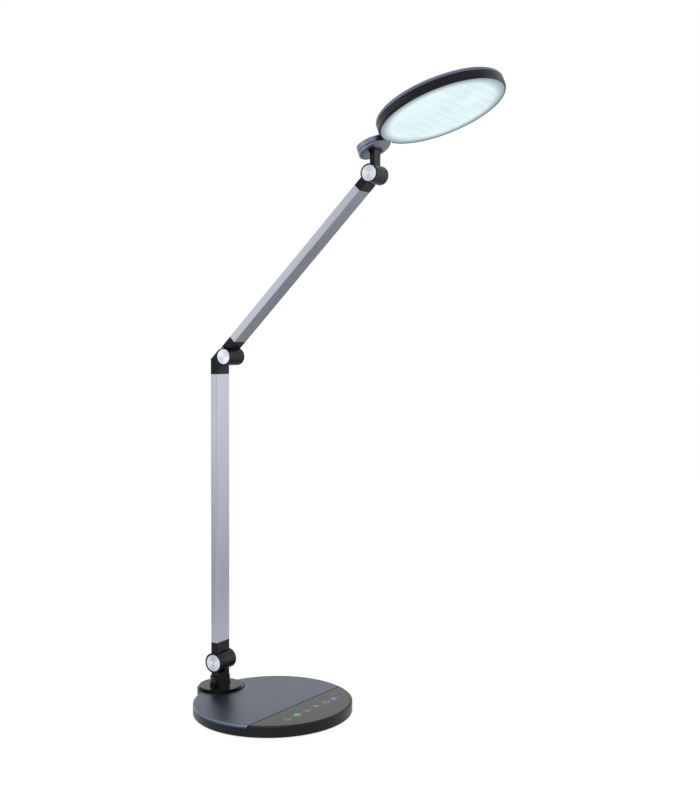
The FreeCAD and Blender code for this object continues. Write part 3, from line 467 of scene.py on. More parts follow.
@dataclass(frozen=True)
class Moulded(Finish):
    """Moulded plastic or rubber with a fine grain."""

    colour: Colour
    roughness: float
    specular: float = 0.3
    grain: float = 2600.0
    relief: float = 0.03 * MM

    def paint(self, graph: Graph) -> None:
        """Lay the look on a material's nodes.

        Args:
            graph: The nodes.
        """
        cloud = graph.noise(28.0, 4.0)
        graph.set(
            Base_Color=graph.blend(cloud, *shades(self.colour, 0.16)),
            Roughness=graph.vary(cloud, self.roughness - 0.05, self.roughness + 0.05),
            Specular_IOR_Level=self.specular,
        )
        graph.bump(graph.noise(self.grain, 2.0), 0.5, self.relief)


@dataclass(frozen=True)
class GlossPanel(Finish):
    """Smooth dark panel with a soft glow round its lit marks."""

    colour: Colour
    glows: tuple[tuple[Triple, Colour], ...] = ()
    glow_reach: float = 6.0 * MM
    glow_share: float = 0.8

    def paint(self, graph: Graph) -> None:
        """Lay the look on a material's nodes.

        Args:
            graph: The nodes.
        """
        cloud = graph.noise(20.0)
        dust = graph.noise(900.0, 2.0)
        graph.set(
            Base_Color=graph.blend(cloud, *shades(self.colour, 0.2)),
            Roughness=graph.span(dust, (0.35, 0.75), (0.16, 0.24)),
            Specular_IOR_Level=0.25,
        )
        graph.bump(graph.noise(160.0, 1.0), 0.15)
        light: object = (0.0, 0.0, 0.0)
        for spot, colour in self.glows:
            distance = graph.measure("DISTANCE", graph.coords, spot)
            share = graph.span(distance, (0.0, self.glow_reach), (self.glow_share, 0.0), True)
            light = graph.blend(share, light, colour)
        graph.set(Emission_Color=light, Emission_Strength=0.5)


@dataclass(frozen=True)
class Brushed(Finish):
    """Anodised metal with fine lines along one direction."""

    colour: Colour
    roughness: float
    along: Triple
    lines: float = 900.0
    contrast: float = 0.06
    stretch: float = 0.97
    relief: float = 0.12

    def paint(self, graph: Graph) -> None:
        """Lay the look on a material's nodes.

        Args:
            graph: The nodes.
        """
        direction = Vector(self.along).normalized()
        line = graph.noise(self.lines, where=graph.stretched(direction, self.stretch))
        streak = graph.noise(self.lines / 12, where=graph.stretched(direction, 0.9))
        shade = graph.mixed(line, streak, 0.6)
        graph.set(
            Base_Color=graph.blend(graph.vary(shade, 0.0, 1.0), *shades(self.colour, self.contrast)),
            Roughness=graph.vary(line, self.roughness - 0.04, self.roughness + 0.05),
            Metallic=1.0,
        )
        graph.bump(line, self.relief)


@dataclass(frozen=True)
class BlackDisc(Finish):
    """Glossy black disc with painted shade on its bevel: the bevel is painted near black and made metallic,
    so that it shows no reflection.
    """

    gloss: Moulded
    face: float
    lip: float = 0.05 * MM
    # The bevel colour is painted shade: near black, where the glossy bevel would show a reflection.
    bevel: Colour = (0.004, 0.004, 0.005)

    def paint(self, graph: Graph) -> None:
        """Lay the look on a material's nodes.

        Args:
            graph: The nodes.
        """
        self.gloss.paint(graph)
        _, _, z = graph.axes(Matrix.Identity(4))
        # Painted shade: below the face's lip the colour turns near black and metallic.
        below = graph.maths("LESS_THAN", z, self.face - self.lip)
        graph.set(Base_Color=graph.blend(below, graph.colour(), self.bevel), Metallic=below)


@dataclass(frozen=True)
class SlatePlate(Finish):
    """Slate plate of the base: a painted highlight on its bevelled edge, painted shade on the side below it,
    and painted shade in the grooves along the panel and round the disc.
    """

    slate: Brushed
    joint_y: float
    disc_at: Pair
    disc_radius: float
    # joint is the width of the painted shade along each groove.
    joint: float = 1.3 * MM
    edge_radius: float = 0.0934
    edge_fade: float = 0.5 * MM
    skirt_top: float = 12.4 * MM
    # The paler edge colour is a painted highlight on the bevel; the colour after it is painted shade on the
    # side below skirt_top.
    edge: Colour = tone(104, 118, 140)
    skirt_shade: Colour = tone(64, 71, 85)
    # Near-black colour of the painted shade in the grooves.
    groove_shade: Colour = tone(16, 17, 21)

    def paint(self, graph: Graph) -> None:
        """Lay the look on a material's nodes.

        Args:
            graph: The nodes.
        """
        self.slate.paint(graph)
        x, y, z = graph.axes(Matrix.Identity(4))
        # Painted highlight on the bevelled edge above skirt_top, and painted shade on the side below it.
        ends = (self.edge_radius, self.edge_radius + self.edge_fade)
        bevel = graph.span(graph.length(x, y), ends, (0.0, 1.0))
        below = graph.maths("LESS_THAN", z, self.skirt_top)
        edge_highlight_and_shade = graph.blend(bevel, graph.colour(), graph.blend(below, self.edge, self.skirt_shade))
        # Painted shade in the grooves along the panel and round the disc: near black and not metallic, so it
        # shows no reflection.
        beside = graph.maths("LESS_THAN", y, self.joint_y + self.joint)
        across = graph.maths("SUBTRACT", x, self.disc_at[0])
        along = graph.maths("SUBTRACT", y, self.disc_at[1])
        disc_groove_shade = graph.maths("LESS_THAN", graph.length(across, along), self.disc_radius + self.joint)
        groove_shade_mask = graph.maths("MAXIMUM", beside, disc_groove_shade)
        graph.set(Base_Color=graph.blend(groove_shade_mask, edge_highlight_and_shade, self.groove_shade), Specular_IOR_Level=0.0)
        graph.set(Metallic=graph.maths("SUBTRACT", 1.0, groove_shade_mask))


@dataclass(frozen=True)
class SwivelSlice(Finish):
    """Slate slice with painted shade on the bevel of its lower edge and a pale round on its underside, nearer
    to its front.
    """

    slate: Brushed
    place: Matrix
    middle: Triple = (0.0, -0.0102, 0.02475)
    slope: float = math.atan2(0.0055, 0.0388)
    # edge is the height above the underside of the band of painted shade on the bevel; rim is its colour.
    edge: float = 0.45 * MM
    underside: float = 0.12 * MM
    radius: float = 0.0194
    inset: float = 2.5 * MM
    joint_height: float = 27.55 * MM
    joint: Colour = tone(34, 36, 42)
    rim: Colour = tone(50, 50, 58)
    pale: Colour = tone(148, 151, 161)

    def paint(self, graph: Graph) -> None:
        """Lay the look on a material's nodes.

        Args:
            graph: The nodes.
        """
        self.slate.paint(graph)
        colour = graph.colour()
        normal = self.place.to_3x3() @ Vector((0, math.sin(self.slope), math.cos(self.slope)))
        offset = graph.vector("SUBTRACT", graph.coords, tuple(self.place @ Vector(self.middle)))
        height = graph.measure("DOT_PRODUCT", offset, tuple(normal))
        above_edge = graph.maths("GREATER_THAN", height, self.edge)
        above_face = graph.maths("GREATER_THAN", height, self.underside)
        across, forward, along = graph.axes(self.place)
        jointed = graph.blend(graph.maths("GREATER_THAN", along, self.joint_height), colour, self.joint)
        # Painted shade: the bevel below the edge height takes the rim colour; above it the slice keeps its
        # colour with the joint line.
        bevel_shade_and_joint = graph.blend(above_edge, self.rim, jointed)
        inset = graph.length(across, graph.maths("SUBTRACT", forward, self.middle[1] - self.inset))
        outside = graph.maths("GREATER_THAN", inset, self.radius - self.inset)
        below = graph.blend(outside, self.pale, colour)
        graph.set(Base_Color=graph.blend(above_face, below, bevel_shade_and_joint))


@dataclass(frozen=True)
class Turned(Finish):
    """Bright metal turned on a lathe, with fine rings and a painted highlight that fans out from its middle.
    """

    colour: Colour
    place: Matrix
    roughness: float = 0.3
    fans: float = 2.0
    contrast: float = 0.26

    def paint(self, graph: Graph) -> None:
        """Lay the look on a material's nodes.

        Args:
            graph: The nodes.
        """
        _, y, z = graph.axes(self.place)
        ring = graph.rings(graph.length(y, z), 9000.0)
        # Painted highlight: the colour is lighter in wedges that spread out from the middle, as light falls
        # on turned metal.
        wave = graph.maths("COSINE", graph.maths("MULTIPLY", graph.maths("ARCTAN2", z, y), self.fans))
        painted_fan_highlight = graph.span(wave, (-1.0, 1.0), (0.1, 1.0))
        # The colour mixes 30 % turned rings with 70 % painted highlight.
        shade = graph.mixed(ring, painted_fan_highlight, 0.3)
        offset = graph.vector("SUBTRACT", graph.coords, tuple(self.place.translation))
        axis = tuple(self.place.to_3x3().col[0])
        graph.set(
            Base_Color=graph.blend(shade, *shades(self.colour, self.contrast)),
            Roughness=graph.vary(ring, self.roughness - 0.05, self.roughness + 0.05),
            Tangent=graph.vector("NORMALIZE", graph.vector("CROSS_PRODUCT", axis, offset)),
            Metallic=1.0,
            Anisotropic=0.7,
        )
        graph.bump(ring, 0.2)


@dataclass(frozen=True)
class Plated(Finish):
    """Small steel parts: zinc-plated, blackened or bare."""

    colour: Colour
    roughness: float = 0.3
    wear: float = 0.25

    def paint(self, graph: Graph) -> None:
        """Lay the look on a material's nodes.

        Args:
            graph: The nodes.
        """
        blotch = graph.noise(260.0, 4.0)
        scratch = graph.noise(2400.0, 2.0, graph.stretched(Vector((0.6, 0.64, 0.48)), 0.9))
        shade = graph.mixed(blotch, scratch, 0.7)
        graph.set(
            Base_Color=graph.blend(shade, *shades(self.colour, self.wear)),
            Roughness=graph.vary(blotch, self.roughness - 0.08, self.roughness + 0.1),
            Metallic=1.0,
        )
        graph.bump(scratch, 0.2)


@dataclass(frozen=True)
class Circuit(Finish):
    """Circuit board: solder mask over copper tracks, with bare pads."""

    mask: Colour
    track: Colour
    pitch: float = 160.0
    pad: Colour = tone(205, 196, 150)

    def paint(self, graph: Graph) -> None:
        """Lay the look on a material's nodes.

        Args:
            graph: The nodes.
        """
        edge = graph.cells(self.pitch, "DISTANCE_TO_EDGE")
        pads = graph.cells(self.pitch * 1.7)
        tracks = graph.maths("LESS_THAN", edge, 0.06)
        bare = graph.maths("LESS_THAN", pads, 0.12)
        under = graph.blend(tracks, self.mask, self.track)
        graph.set(
            Base_Color=graph.blend(bare, under, self.pad),
            Roughness=graph.vary(graph.noise(300.0), 0.3, 0.45),
        )
        graph.bump(tracks, 0.4, 0.03 * MM)


@dataclass(frozen=True)
class Foam(Finish):
    """Closed-cell foam with small pores."""

    colour: Colour

    def paint(self, graph: Graph) -> None:
        """Lay the look on a material's nodes.

        Args:
            graph: The nodes.
        """
        pores = graph.cells(1400.0)
        cloud = graph.noise(40.0)
        depth = graph.maths("MULTIPLY", pores, graph.vary(cloud, 0.6, 1.0))
        graph.set(Base_Color=graph.blend(depth, *shades(self.colour, 0.4)), Specular_IOR_Level=0.2)
        graph.set(Roughness=graph.span(pores, (0.0, 0.6), (0.98, 0.8)))
        graph.bump(pores, 0.6, 0.12 * MM)


@dataclass(frozen=True)
class Jacket(Finish):
    """Flexible lead jacket with a slight ripple along it."""

    colour: Colour

    def paint(self, graph: Graph) -> None:
        """Lay the look on a material's nodes.

        Args:
            graph: The nodes.
        """
        ripple = graph.noise(340.0, 2.0)
        smear = graph.noise(60.0)
        graph.set(
            Base_Color=graph.blend(smear, *shades(self.colour, 0.25)),
            Roughness=graph.vary(ripple, 0.42, 0.58),
            Specular_IOR_Level=0.4,
        )
        graph.bump(ripple, 0.3, 0.05 * MM)


@dataclass(frozen=True)
class Lens(Finish):
    """Small clear lamps, green on the left and blue on the right."""

    left: Colour
    right: Colour

    def paint(self, graph: Graph) -> None:
        """Lay the look on a material's nodes.

        Args:
            graph: The nodes.
        """
        side = graph.measure("DOT_PRODUCT", graph.coords, (1.0, 0.0, 0.0))
        colour = graph.blend(graph.maths("GREATER_THAN", side, 0.0), self.left, self.right)
        haze = graph.noise(700.0, 2.0)
        graph.set(Base_Color=colour, Emission_Color=colour, Emission_Strength=0.8)
        graph.set(Roughness=graph.vary(haze, 0.2, 0.35))


@dataclass(frozen=True)
class Phosphor(Finish):
    """Light sources: a yellow window in a white frame, repeated at their pitch."""

    place: Matrix
    pitch: float = 0.011
    window: float = 0.0011

    def paint(self, graph: Graph) -> None:
        """Lay the look on a material's nodes.

        Args:
            graph: The nodes.
        """
        x, y, _ = graph.axes(self.place)
        parts = [graph.maths("PINGPONG", graph.maths("ABSOLUTE", part), self.pitch / 2) for part in (x, y)]
        inside = graph.maths("LESS_THAN", graph.maths("MAXIMUM", *parts), self.window)
        haze = graph.noise(900.0, 2.0)
        yellow = graph.blend(haze, tone(228, 196, 70), tone(245, 220, 110))
        graph.set(Base_Color=graph.blend(inside, tone(232, 232, 226), yellow))
        graph.set(Roughness=graph.vary(haze, 0.4, 0.55))


@dataclass(frozen=True)
class Opal(Finish):
    """Lit diffuser with soft spots where the light sources sit."""

    place: Matrix
    radius: float = 0.0696
    pitch: float = 0.011
    middle: Colour = tone(227, 246, 248)
    spot: Colour = tone(233, 250, 250)
    shade: Colour = tone(210, 233, 237)
    edge: Colour = tone(122, 144, 152)
    fade: float = 14.0 * MM
    fade_power: float = 1.25
    strength: float = 0.87

    def paint(self, graph: Graph) -> None:
        """Lay the look on a material's nodes.

        Args:
            graph: The nodes.
        """
        x, y, _ = graph.axes(self.place)
        drift = graph.noise(70.0)
        spots = self._spots(graph, x, y)
        glow = graph.maths("MULTIPLY", spots, graph.vary(drift, 0.5, 1.0))
        broad = graph.noise(26.0, 2.0)
        field_light = graph.blend(graph.span(broad, (0.35, 0.65), (0.0, 1.0)), self.shade, self.middle)
        lit = graph.blend(glow, field_light, self.spot)
        radius = graph.length(x, y)
        fade = graph.span(radius, (self.radius - self.fade, self.radius), (0.0, 1.0), True)
        colour = graph.blend(graph.maths("POWER", fade, self.fade_power), lit, self.edge)
        graph.set(
            Base_Color=graph.blend(drift, tone(90, 98, 100), tone(104, 112, 114)),
            Roughness=graph.vary(drift, 0.38, 0.48),
            Emission_Color=colour,
            Emission_Strength=self.strength,
            Specular_IOR_Level=0.3,
        )

    def _spots(self, graph: Graph, x: Socket, y: Socket) -> Socket:
        """Return a value that is highest over each light source.

        Args:
            graph: The nodes.
            x: Offset across the light.
            y: Offset along it.

        Returns:
            A value from 0 to 1.
        """
        step = 2 * math.pi / self.pitch
        waves = (graph.maths("COSINE", graph.maths("MULTIPLY", part, step)) for part in (x, y))
        return graph.span(graph.maths("ADD", *waves), (-0.4, 2.0), (0.0, 1.0), True)


@dataclass(frozen=True)
class Printed(Finish):
    """Printed or back-lit mark."""

    colour: Colour
    glow: float

    def paint(self, graph: Graph) -> None:
        """Lay the look on a material's nodes.

        Args:
            graph: The nodes.
        """
        speck = graph.noise(1500.0, 2.0)
        colour = graph.blend(speck, *shades(self.colour, 0.15))
        graph.set(Base_Color=colour, Emission_Color=colour, Emission_Strength=self.glow)
        graph.set(Roughness=graph.vary(speck, 0.35, 0.5))


SLATE = tone(78, 85, 101)
SHELL_SLATE = tone(100, 107, 126)
# The swivel parts wear the shell's slate painted lighter, as painted light.
SWIVEL_SLATE_PAINTED_LIGHTER = tone(118, 127, 148)
SILVER = tone(166, 170, 181)
CAP_METAL = tone(194, 199, 208)
SATIN_BLACK = Moulded("satin_black", tone(20, 19, 26), 0.34, specular=0.19, relief=0.015 * MM)
FITTING_BLACK = Moulded("fitting_black", tone(14, 16, 25), 0.34, specular=0.15, relief=0.015 * MM)
GLOSS_BLACK = Moulded("gloss_black", tone(9, 9, 12), 0.2, specular=0.2, relief=0.008 * MM)
INLET_BLACK = Moulded("inlet_black", tone(30, 30, 32), 0.5)
TOUCH_RUBBER = Moulded("touch_rubber", tone(70, 70, 74), 0.7, relief=0.06 * MM)
NYLON = Moulded("washer_nylon", tone(214, 210, 198), 0.45, specular=0.4)
BRIGHT_STEEL = Plated("zinc_plated_steel", tone(190, 192, 196))
SPRING_STEEL = Plated("spring_steel", tone(118, 118, 124), 0.35)
BLACK_STEEL = Plated("blackened_steel", tone(52, 52, 56), 0.4)
WEIGHT_STEEL = Plated("rolled_weight", tone(112, 114, 118), 0.5, wear=0.35)
SPREADER = Brushed("heat_spreader", tone(196, 199, 204), 0.35, (0.3, 1.0, 0.0))
TOUCH_CIRCUIT = Circuit("touch_circuit", tone(14, 48, 34), tone(32, 88, 60))
LAMP_CIRCUIT = Circuit("lamp_circuit", tone(226, 228, 226), tone(206, 209, 206), 110.0)
PAD_FOAM = Foam("grip_foam", tone(44, 44, 47))
BLACK_LEAD = Jacket("lead_jacket", tone(34, 34, 37))


class Shop:
    """Materials made once and shared by all the pieces that wear them."""

    def __init__(self) -> None:
        """Start with no materials."""
        self.made: dict[str, bpy.types.Material] = {}

    def material(self, finish: Finish) -> bpy.types.Material:
        """Return the material of a finish, built at its first use.

        Args:
            finish: The finish.

        Returns:
            Its material.
        """
        if finish.name not in self.made:
            self.made[finish.name] = finish.build()
        return self.made[finish.name]

    def dress(self, finish: Finish, *nodes: str) -> None:
        """Give CAD nodes a finish.

        Args:
            finish: The finish for all their faces.
            nodes: Names of the nodes.
        """
        material = self.material(finish)
        for name in nodes:
            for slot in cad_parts[name].material_slots:
                slot.material = material
            LOG.info("%s wears %s", name, finish.name)


class Drawing:
    """Flat shapes of a touch mark, drawn about its middle in metres and given a thickness at the end."""

    def __init__(self) -> None:
        """Start an empty mark."""
        self.form = bmesh.new()

    def arc(self, radius: float, width: float, start: float = 0.0, sweep: float = 360.0) -> None:
        """Add a ring or a part of one round the mark's middle.

        Args:
            radius: Radius of its middle line.
            width: Width of the line.
            start: Angle of its first end in degrees.
            sweep: Angle that it covers in degrees.
        """
        aim = math.radians(start)
        ends = [
            self.form.verts.new((r * math.cos(aim), r * math.sin(aim), 0))
            for r in (radius - width / 2, radius + width / 2)
        ]
        edge = self.form.edges.new(ends)
        bmesh.ops.spin(
            self.form,
            geom=[*ends, edge],
            cent=(0, 0, 0),
            axis=(0, 0, 1),
            angle=math.radians(sweep),
            steps=max(6, round(sweep / 12)),
            use_merge=sweep >= 360.0,
        )

    def bar(self, start: Pair, end: Pair, width: float) -> None:
        """Add a straight stroke.

        Args:
            start: Its first end.
            end: Its last end.
            width: Width of the line.
        """
        first, last = Vector((*start, 0)), Vector((*end, 0))
        reach = last - first
        place = Matrix.Translation((first + last) / 2) @ Matrix.Rotation(math.atan2(reach.y, reach.x), 4, "Z")
        size = Matrix.Diagonal((reach.length, width, 1, 1))
        bmesh.ops.create_grid(self.form, x_segments=1, y_segments=1, size=0.5, matrix=place @ size)

    def dot(self, radius: float, at: Pair = (0, 0)) -> None:
        """Add a filled round."""
        place = Matrix.Translation((*at, 0))
        bmesh.ops.create_circle(self.form, cap_ends=True, segments=20, radius=radius, matrix=place)

    def grow(self, share: float) -> None:
        """Scale what is drawn about the mark's middle."""
        bmesh.ops.scale(self.form, verts=self.form.verts, vec=(share, share, 1))

    def finish(self, name: str, at: Triple, height: float) -> bpy.types.Object:
        """Give the shapes their thickness and put them in the scene.

        Args:
            name: Name of the piece.
            at: Place of the mark's middle.
            height: Thickness of the print.

        Returns:
            The piece.
        """
        bmesh.ops.recalc_face_normals(self.form, faces=self.form.faces)
        raised = bmesh.ops.extrude_face_region(self.form, geom=self.form.faces[:], use_keep_orig=True)
        tops = [item for item in raised["geom"] if isinstance(item, bmesh.types.BMVert)]
        bmesh.ops.translate(self.form, verts=tops, vec=(0, 0, height))
        bmesh.ops.recalc_face_normals(self.form, faces=self.form.faces)
        bmesh.ops.translate(self.form, verts=self.form.verts, vec=at)
        return solid(name, self.form)


@dataclass(frozen=True)
class TouchMarks:
    """Row of small pictures on the touch panel, two of them lit from below and the others given a faint
    painted glow.
    """

    lift: float = 0.02 * MM
    thickness: float = 0.04 * MM
    line: float = 0.55 * MM
    size: float = 1.75
    rays: int = 8
    level_offset: Pair = (5.8 * MM, -1.8 * MM)
    level_pitch: float = 1.1 * MM
    places: tuple[tuple[Symbol, Light, Pair], ...] = (
        (Symbol.POWER, Light.OFF, (-0.0454, -0.0586)),
        (Symbol.WARMTH, Light.GREEN, (-0.0272, -0.0575)),
        (Symbol.DIMMER, Light.OFF, (-0.0094, -0.0588)),
        (Symbol.BRIGHTER, Light.OFF, (0.0093, -0.0572)),
        (Symbol.TIMER, Light.OFF, (0.0271, -0.0581)),
        (Symbol.NIGHT, Light.BLUE, (0.0444, -0.0583)),
    )
    # The unlit print glows faintly at 0.25, as painted light.
    unlit: Printed = Printed("mark_print_painted_glow", tone(136, 136, 144), 0.25)
    green: Printed = Printed("mark_green", tone(22, 158, 74), 0.85)
    blue: Printed = Printed("mark_blue", tone(84, 104, 228), 0.85)

    def glows(self, top: float) -> tuple[tuple[Triple, Colour], ...]:
        """Return the middle and the colour of each lit mark.

        Args:
            top: Height of the panel's face.

        Returns:
            A pair for each.
        """
        lit = {Light.GREEN: self.green.colour, Light.BLUE: self.blue.colour}
        return tuple(((x, y, top), lit[light]) for _, light, (x, y) in self.places if light in lit)

    def build(self, shop: Shop, top: float) -> None:
        """Make the marks on the panel.

        Args:
            shop: Materials.
            top: Height of the panel's face.
        """
        inks = {Light.OFF: self.unlit, Light.GREEN: self.green, Light.BLUE: self.blue}
        for symbol, light, (x, y) in self.places:
            drawing = Drawing()
            self._draw(drawing, symbol)
            drawing.grow(self.size)
            self._lay(drawing, symbol.value, (x, y, top + self.lift), shop.material(inks[light]))
        drawing = Drawing()
        for _, _, (x, y) in self.places:
            self._level(drawing, x + self.level_offset[0], y + self.level_offset[1])
        self._lay(drawing, "levels", (0, 0, top + self.lift), shop.material(self.unlit))

    def _lay(self, drawing: Drawing, name: str, at: Triple, ink: bpy.types.Material) -> None:
        """Print a drawing on the panel.

        Args:
            drawing: The shapes.
            name: What they show.
            at: Place of their middle.
            ink: Their material.
        """
        piece = drawing.finish(f"mark_{name}", at, self.thickness)
        piece.data.materials.append(ink)
        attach(piece, Body.BASE.value)
        LOG.info("%s printed", piece.name)

    def _draw(self, drawing: Drawing, symbol: Symbol) -> None:
        """Draw one picture about its middle.

        Args:
            drawing: Where it is drawn.
            symbol: Which picture.
        """
        match symbol:
            case Symbol.POWER:
                drawing.arc(1.9 * MM, self.line, 125, 290)
                drawing.bar((0, 0.8 * MM), (0, 2.6 * MM), self.line)
            case Symbol.WARMTH:
                drawing.arc(1.8 * MM, 0.6 * MM)
                drawing.dot(1.1 * MM)
                drawing.bar((-0.8 * MM, -2.7 * MM), (0.8 * MM, -2.7 * MM), self.line)
            case Symbol.DIMMER:
                self._sun(drawing, 0.9 * MM)
                drawing.bar((-0.4 * MM, 0), (0.4 * MM, 0), self.line / 2)
            case Symbol.BRIGHTER:
                self._sun(drawing, 1.3 * MM)
                drawing.dot(0.6 * MM)
            case Symbol.TIMER:
                drawing.arc(2.1 * MM, self.line)
                drawing.bar((0, 0.3 * MM), (0, 1.5 * MM), self.line)
                drawing.bar((0.3 * MM, 0), (1.2 * MM, 0), self.line)
            case Symbol.NIGHT:
                drawing.arc(1.5 * MM, 1.1 * MM, 60, 220)
                drawing.dot(0.35 * MM, (1.3 * MM, 0.2 * MM))

    def _sun(self, drawing: Drawing, radius: float) -> None:
        """Draw a ring with rays.

        Args:
            drawing: Where it is drawn.
            radius: Radius of the ring.
        """
        drawing.arc(radius, self.line)
        for step in range(self.rays):
            aim = math.radians(360 / self.rays * step)
            inner, outer = radius + 0.6 * MM, radius + 1.3 * MM
            ends = [(r * math.cos(aim), r * math.sin(aim)) for r in (inner, outer)]
            drawing.bar(*ends, self.line)

    def _level(self, drawing: Drawing, x: float, y: float) -> None:
        """Draw three rising bars beside a picture.

        Args:
            drawing: Where they are drawn.
            x: Middle of the lowest bar, across the panel.
            y: Foot of the bars.
        """
        for step in range(3):
            across = x + self.level_pitch * step
            drawing.bar((across, y), (across, y + (1.0 + 0.8 * step) * MM), self.line)


@dataclass(frozen=True)
class RoundBase:
    """Round base: housing, slate plate, touch panel, weight, board and inlet."""

    marks: TouchMarks = field(default_factory=TouchMarks)
    brushing: Triple = (1.0, 0.0, 0.0)

    def build(self, shop: Shop) -> None:
        """Dress the base and print its marks.

        Args:
            shop: Materials.
        """
        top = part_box("control_panel")[1].z
        shop.dress(SATIN_BLACK, "base_housing", "base_floor")
        slate = Brushed("slate_sheet", SLATE, 0.34, self.brushing, lines=700.0, contrast=0.12, relief=0.06)
        low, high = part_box("pivot_cap")
        middle = ((low.x + high.x) / 2, (low.y + high.y) / 2)
        radius = (high.x - low.x) / 2
        plate = SlatePlate("slate_plate", slate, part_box("control_panel")[1].y, middle, radius)
        shop.dress(plate, "top_plate")
        shop.dress(GlossPanel("touch_glass", tone(22, 20, 28), self.marks.glows(top)), "control_panel")
        shop.dress(BlackDisc("black_disc", GLOSS_BLACK, high.z), "pivot_cap")
        shop.dress(PAD_FOAM, "grip_pad")
        shop.dress(BRIGHT_STEEL, "base_screws")
        shop.dress(WEIGHT_STEEL, "base_weight")
        shop.dress(TOUCH_CIRCUIT, "touch_board")
        shop.dress(TOUCH_RUBBER, "touch_pads")
        lens = Lens("indicator_lens", self.marks.green.colour, self.marks.blue.colour)
        shop.dress(lens, "indicator_lights")
        shop.dress(INLET_BLACK, "power_inlet")
        shop.dress(BLACK_LEAD, "base_leads")
        self.marks.build(shop, top)


@dataclass(frozen=True)
class TurningPost:
    """Post that turns in the base, with the barrel of the base hinge."""

    def build(self, shop: Shop) -> None:
        """Dress the post and what holds it.

        Args:
            shop: Materials.
        """
        shop.dress(GLOSS_BLACK, "post")
        shop.dress(NYLON, "swivel_washer")
        shop.dress(BRIGHT_STEEL, "swivel_nut")
        shop.dress(BLACK_LEAD, "post_lead")
        shop.dress(FITTING_BLACK, "base_hinge_rear_cap")


@dataclass(frozen=True)
class Arm:
    """Flat metal tube between two moulded hinge fittings."""

    body: Body
    place: Matrix
    caps: tuple[tuple[str, Matrix], ...]
    rear_caps: tuple[str, ...]

    def build(self, shop: Shop) -> None:
        """Dress the arm, its caps and its hinge parts.

        Args:
            shop: Materials.
        """
        arm = self.body.value
        shop.dress(FITTING_BLACK, f"{arm}_foot", f"{arm}_head", *self.rear_caps)
        along = tuple(self.place.to_3x3().col[2])
        tube = Brushed(f"{arm}_silver", SILVER, 0.34, along, lines=1100.0, contrast=0.07, stretch=0.985)
        shop.dress(tube, f"{arm}_tube")
        shop.dress(BLACK_STEEL, f"{arm}_screws")
        shop.dress(BLACK_LEAD, f"{arm}_lead")
        shop.dress(BRIGHT_STEEL, f"{arm}_hinge_bolts", f"{arm}_hinge_nuts")
        shop.dress(SPRING_STEEL, f"{arm}_hinge_spring_washers")
        shop.dress(NYLON, f"{arm}_hinge_friction_washers")
        for cap, place in self.caps:
            shop.dress(Turned(f"{cap}_metal", CAP_METAL, place), cap)


@dataclass(frozen=True)
class NoddingNeck:
    """Neck that nods on the upper arm, with the lower slice of the swivel joint."""

    place: Matrix
    slate: Brushed

    def build(self, shop: Shop) -> None:
        """Dress the neck and its slice.

        Args:
            shop: Materials.
        """
        shop.dress(FITTING_BLACK, "neck", "head_hinge_rear_cap")
        shop.dress(SwivelSlice("tilt_slice", self.slate, self.place), "tilt_plate")
        shop.dress(BRIGHT_STEEL, "neck_screws")
        shop.dress(BLACK_LEAD, "neck_lead")
        shop.dress(NYLON, "head_swivel_washer")
        shop.dress(SPRING_STEEL, "head_swivel_screw")


@dataclass(frozen=True)
class LightHead:
    """Round head: shell, rim, opal light and the board behind it."""

    light: Matrix
    slate: Brushed
    bracket: Brushed

    def build(self, shop: Shop) -> None:
        """Dress the head inside and out.

        Args:
            shop: Materials.
        """
        shop.dress(self.slate, "head_shell")
        shop.dress(self.bracket, "head_bracket")
        shop.dress(SATIN_BLACK, "head_rim")
        shop.dress(Opal("lit_opal", self.light), "diffuser")
        shop.dress(LAMP_CIRCUIT, "led_board")
        shop.dress(Phosphor("led_phosphor", self.light), "leds")
        shop.dress(SPREADER, "heat_plate")
        shop.dress(BRIGHT_STEEL, "bracket_screws", "head_screws")
        shop.dress(BLACK_LEAD, "head_lead")


@dataclass(frozen=True)
class SoftBox:
    """Soft light with a flat, square-cornered face."""

    name: str
    at: Triple
    aim: Triple
    width: float
    height: float
    radiance: float

    def build(self) -> None:
        """Make the light."""
        data = bpy.data.lights.new(self.name, "AREA")
        data.shape = "RECTANGLE"
        data.size, data.size_y = self.width, self.height
        data.energy = self.radiance * math.pi * self.width * self.height
        lamp = placed(self.name, data)
        lamp.location = self.at
        lamp.rotation_euler = (Vector(self.aim) - Vector(self.at)).to_track_quat("-Z", "Y").to_euler()


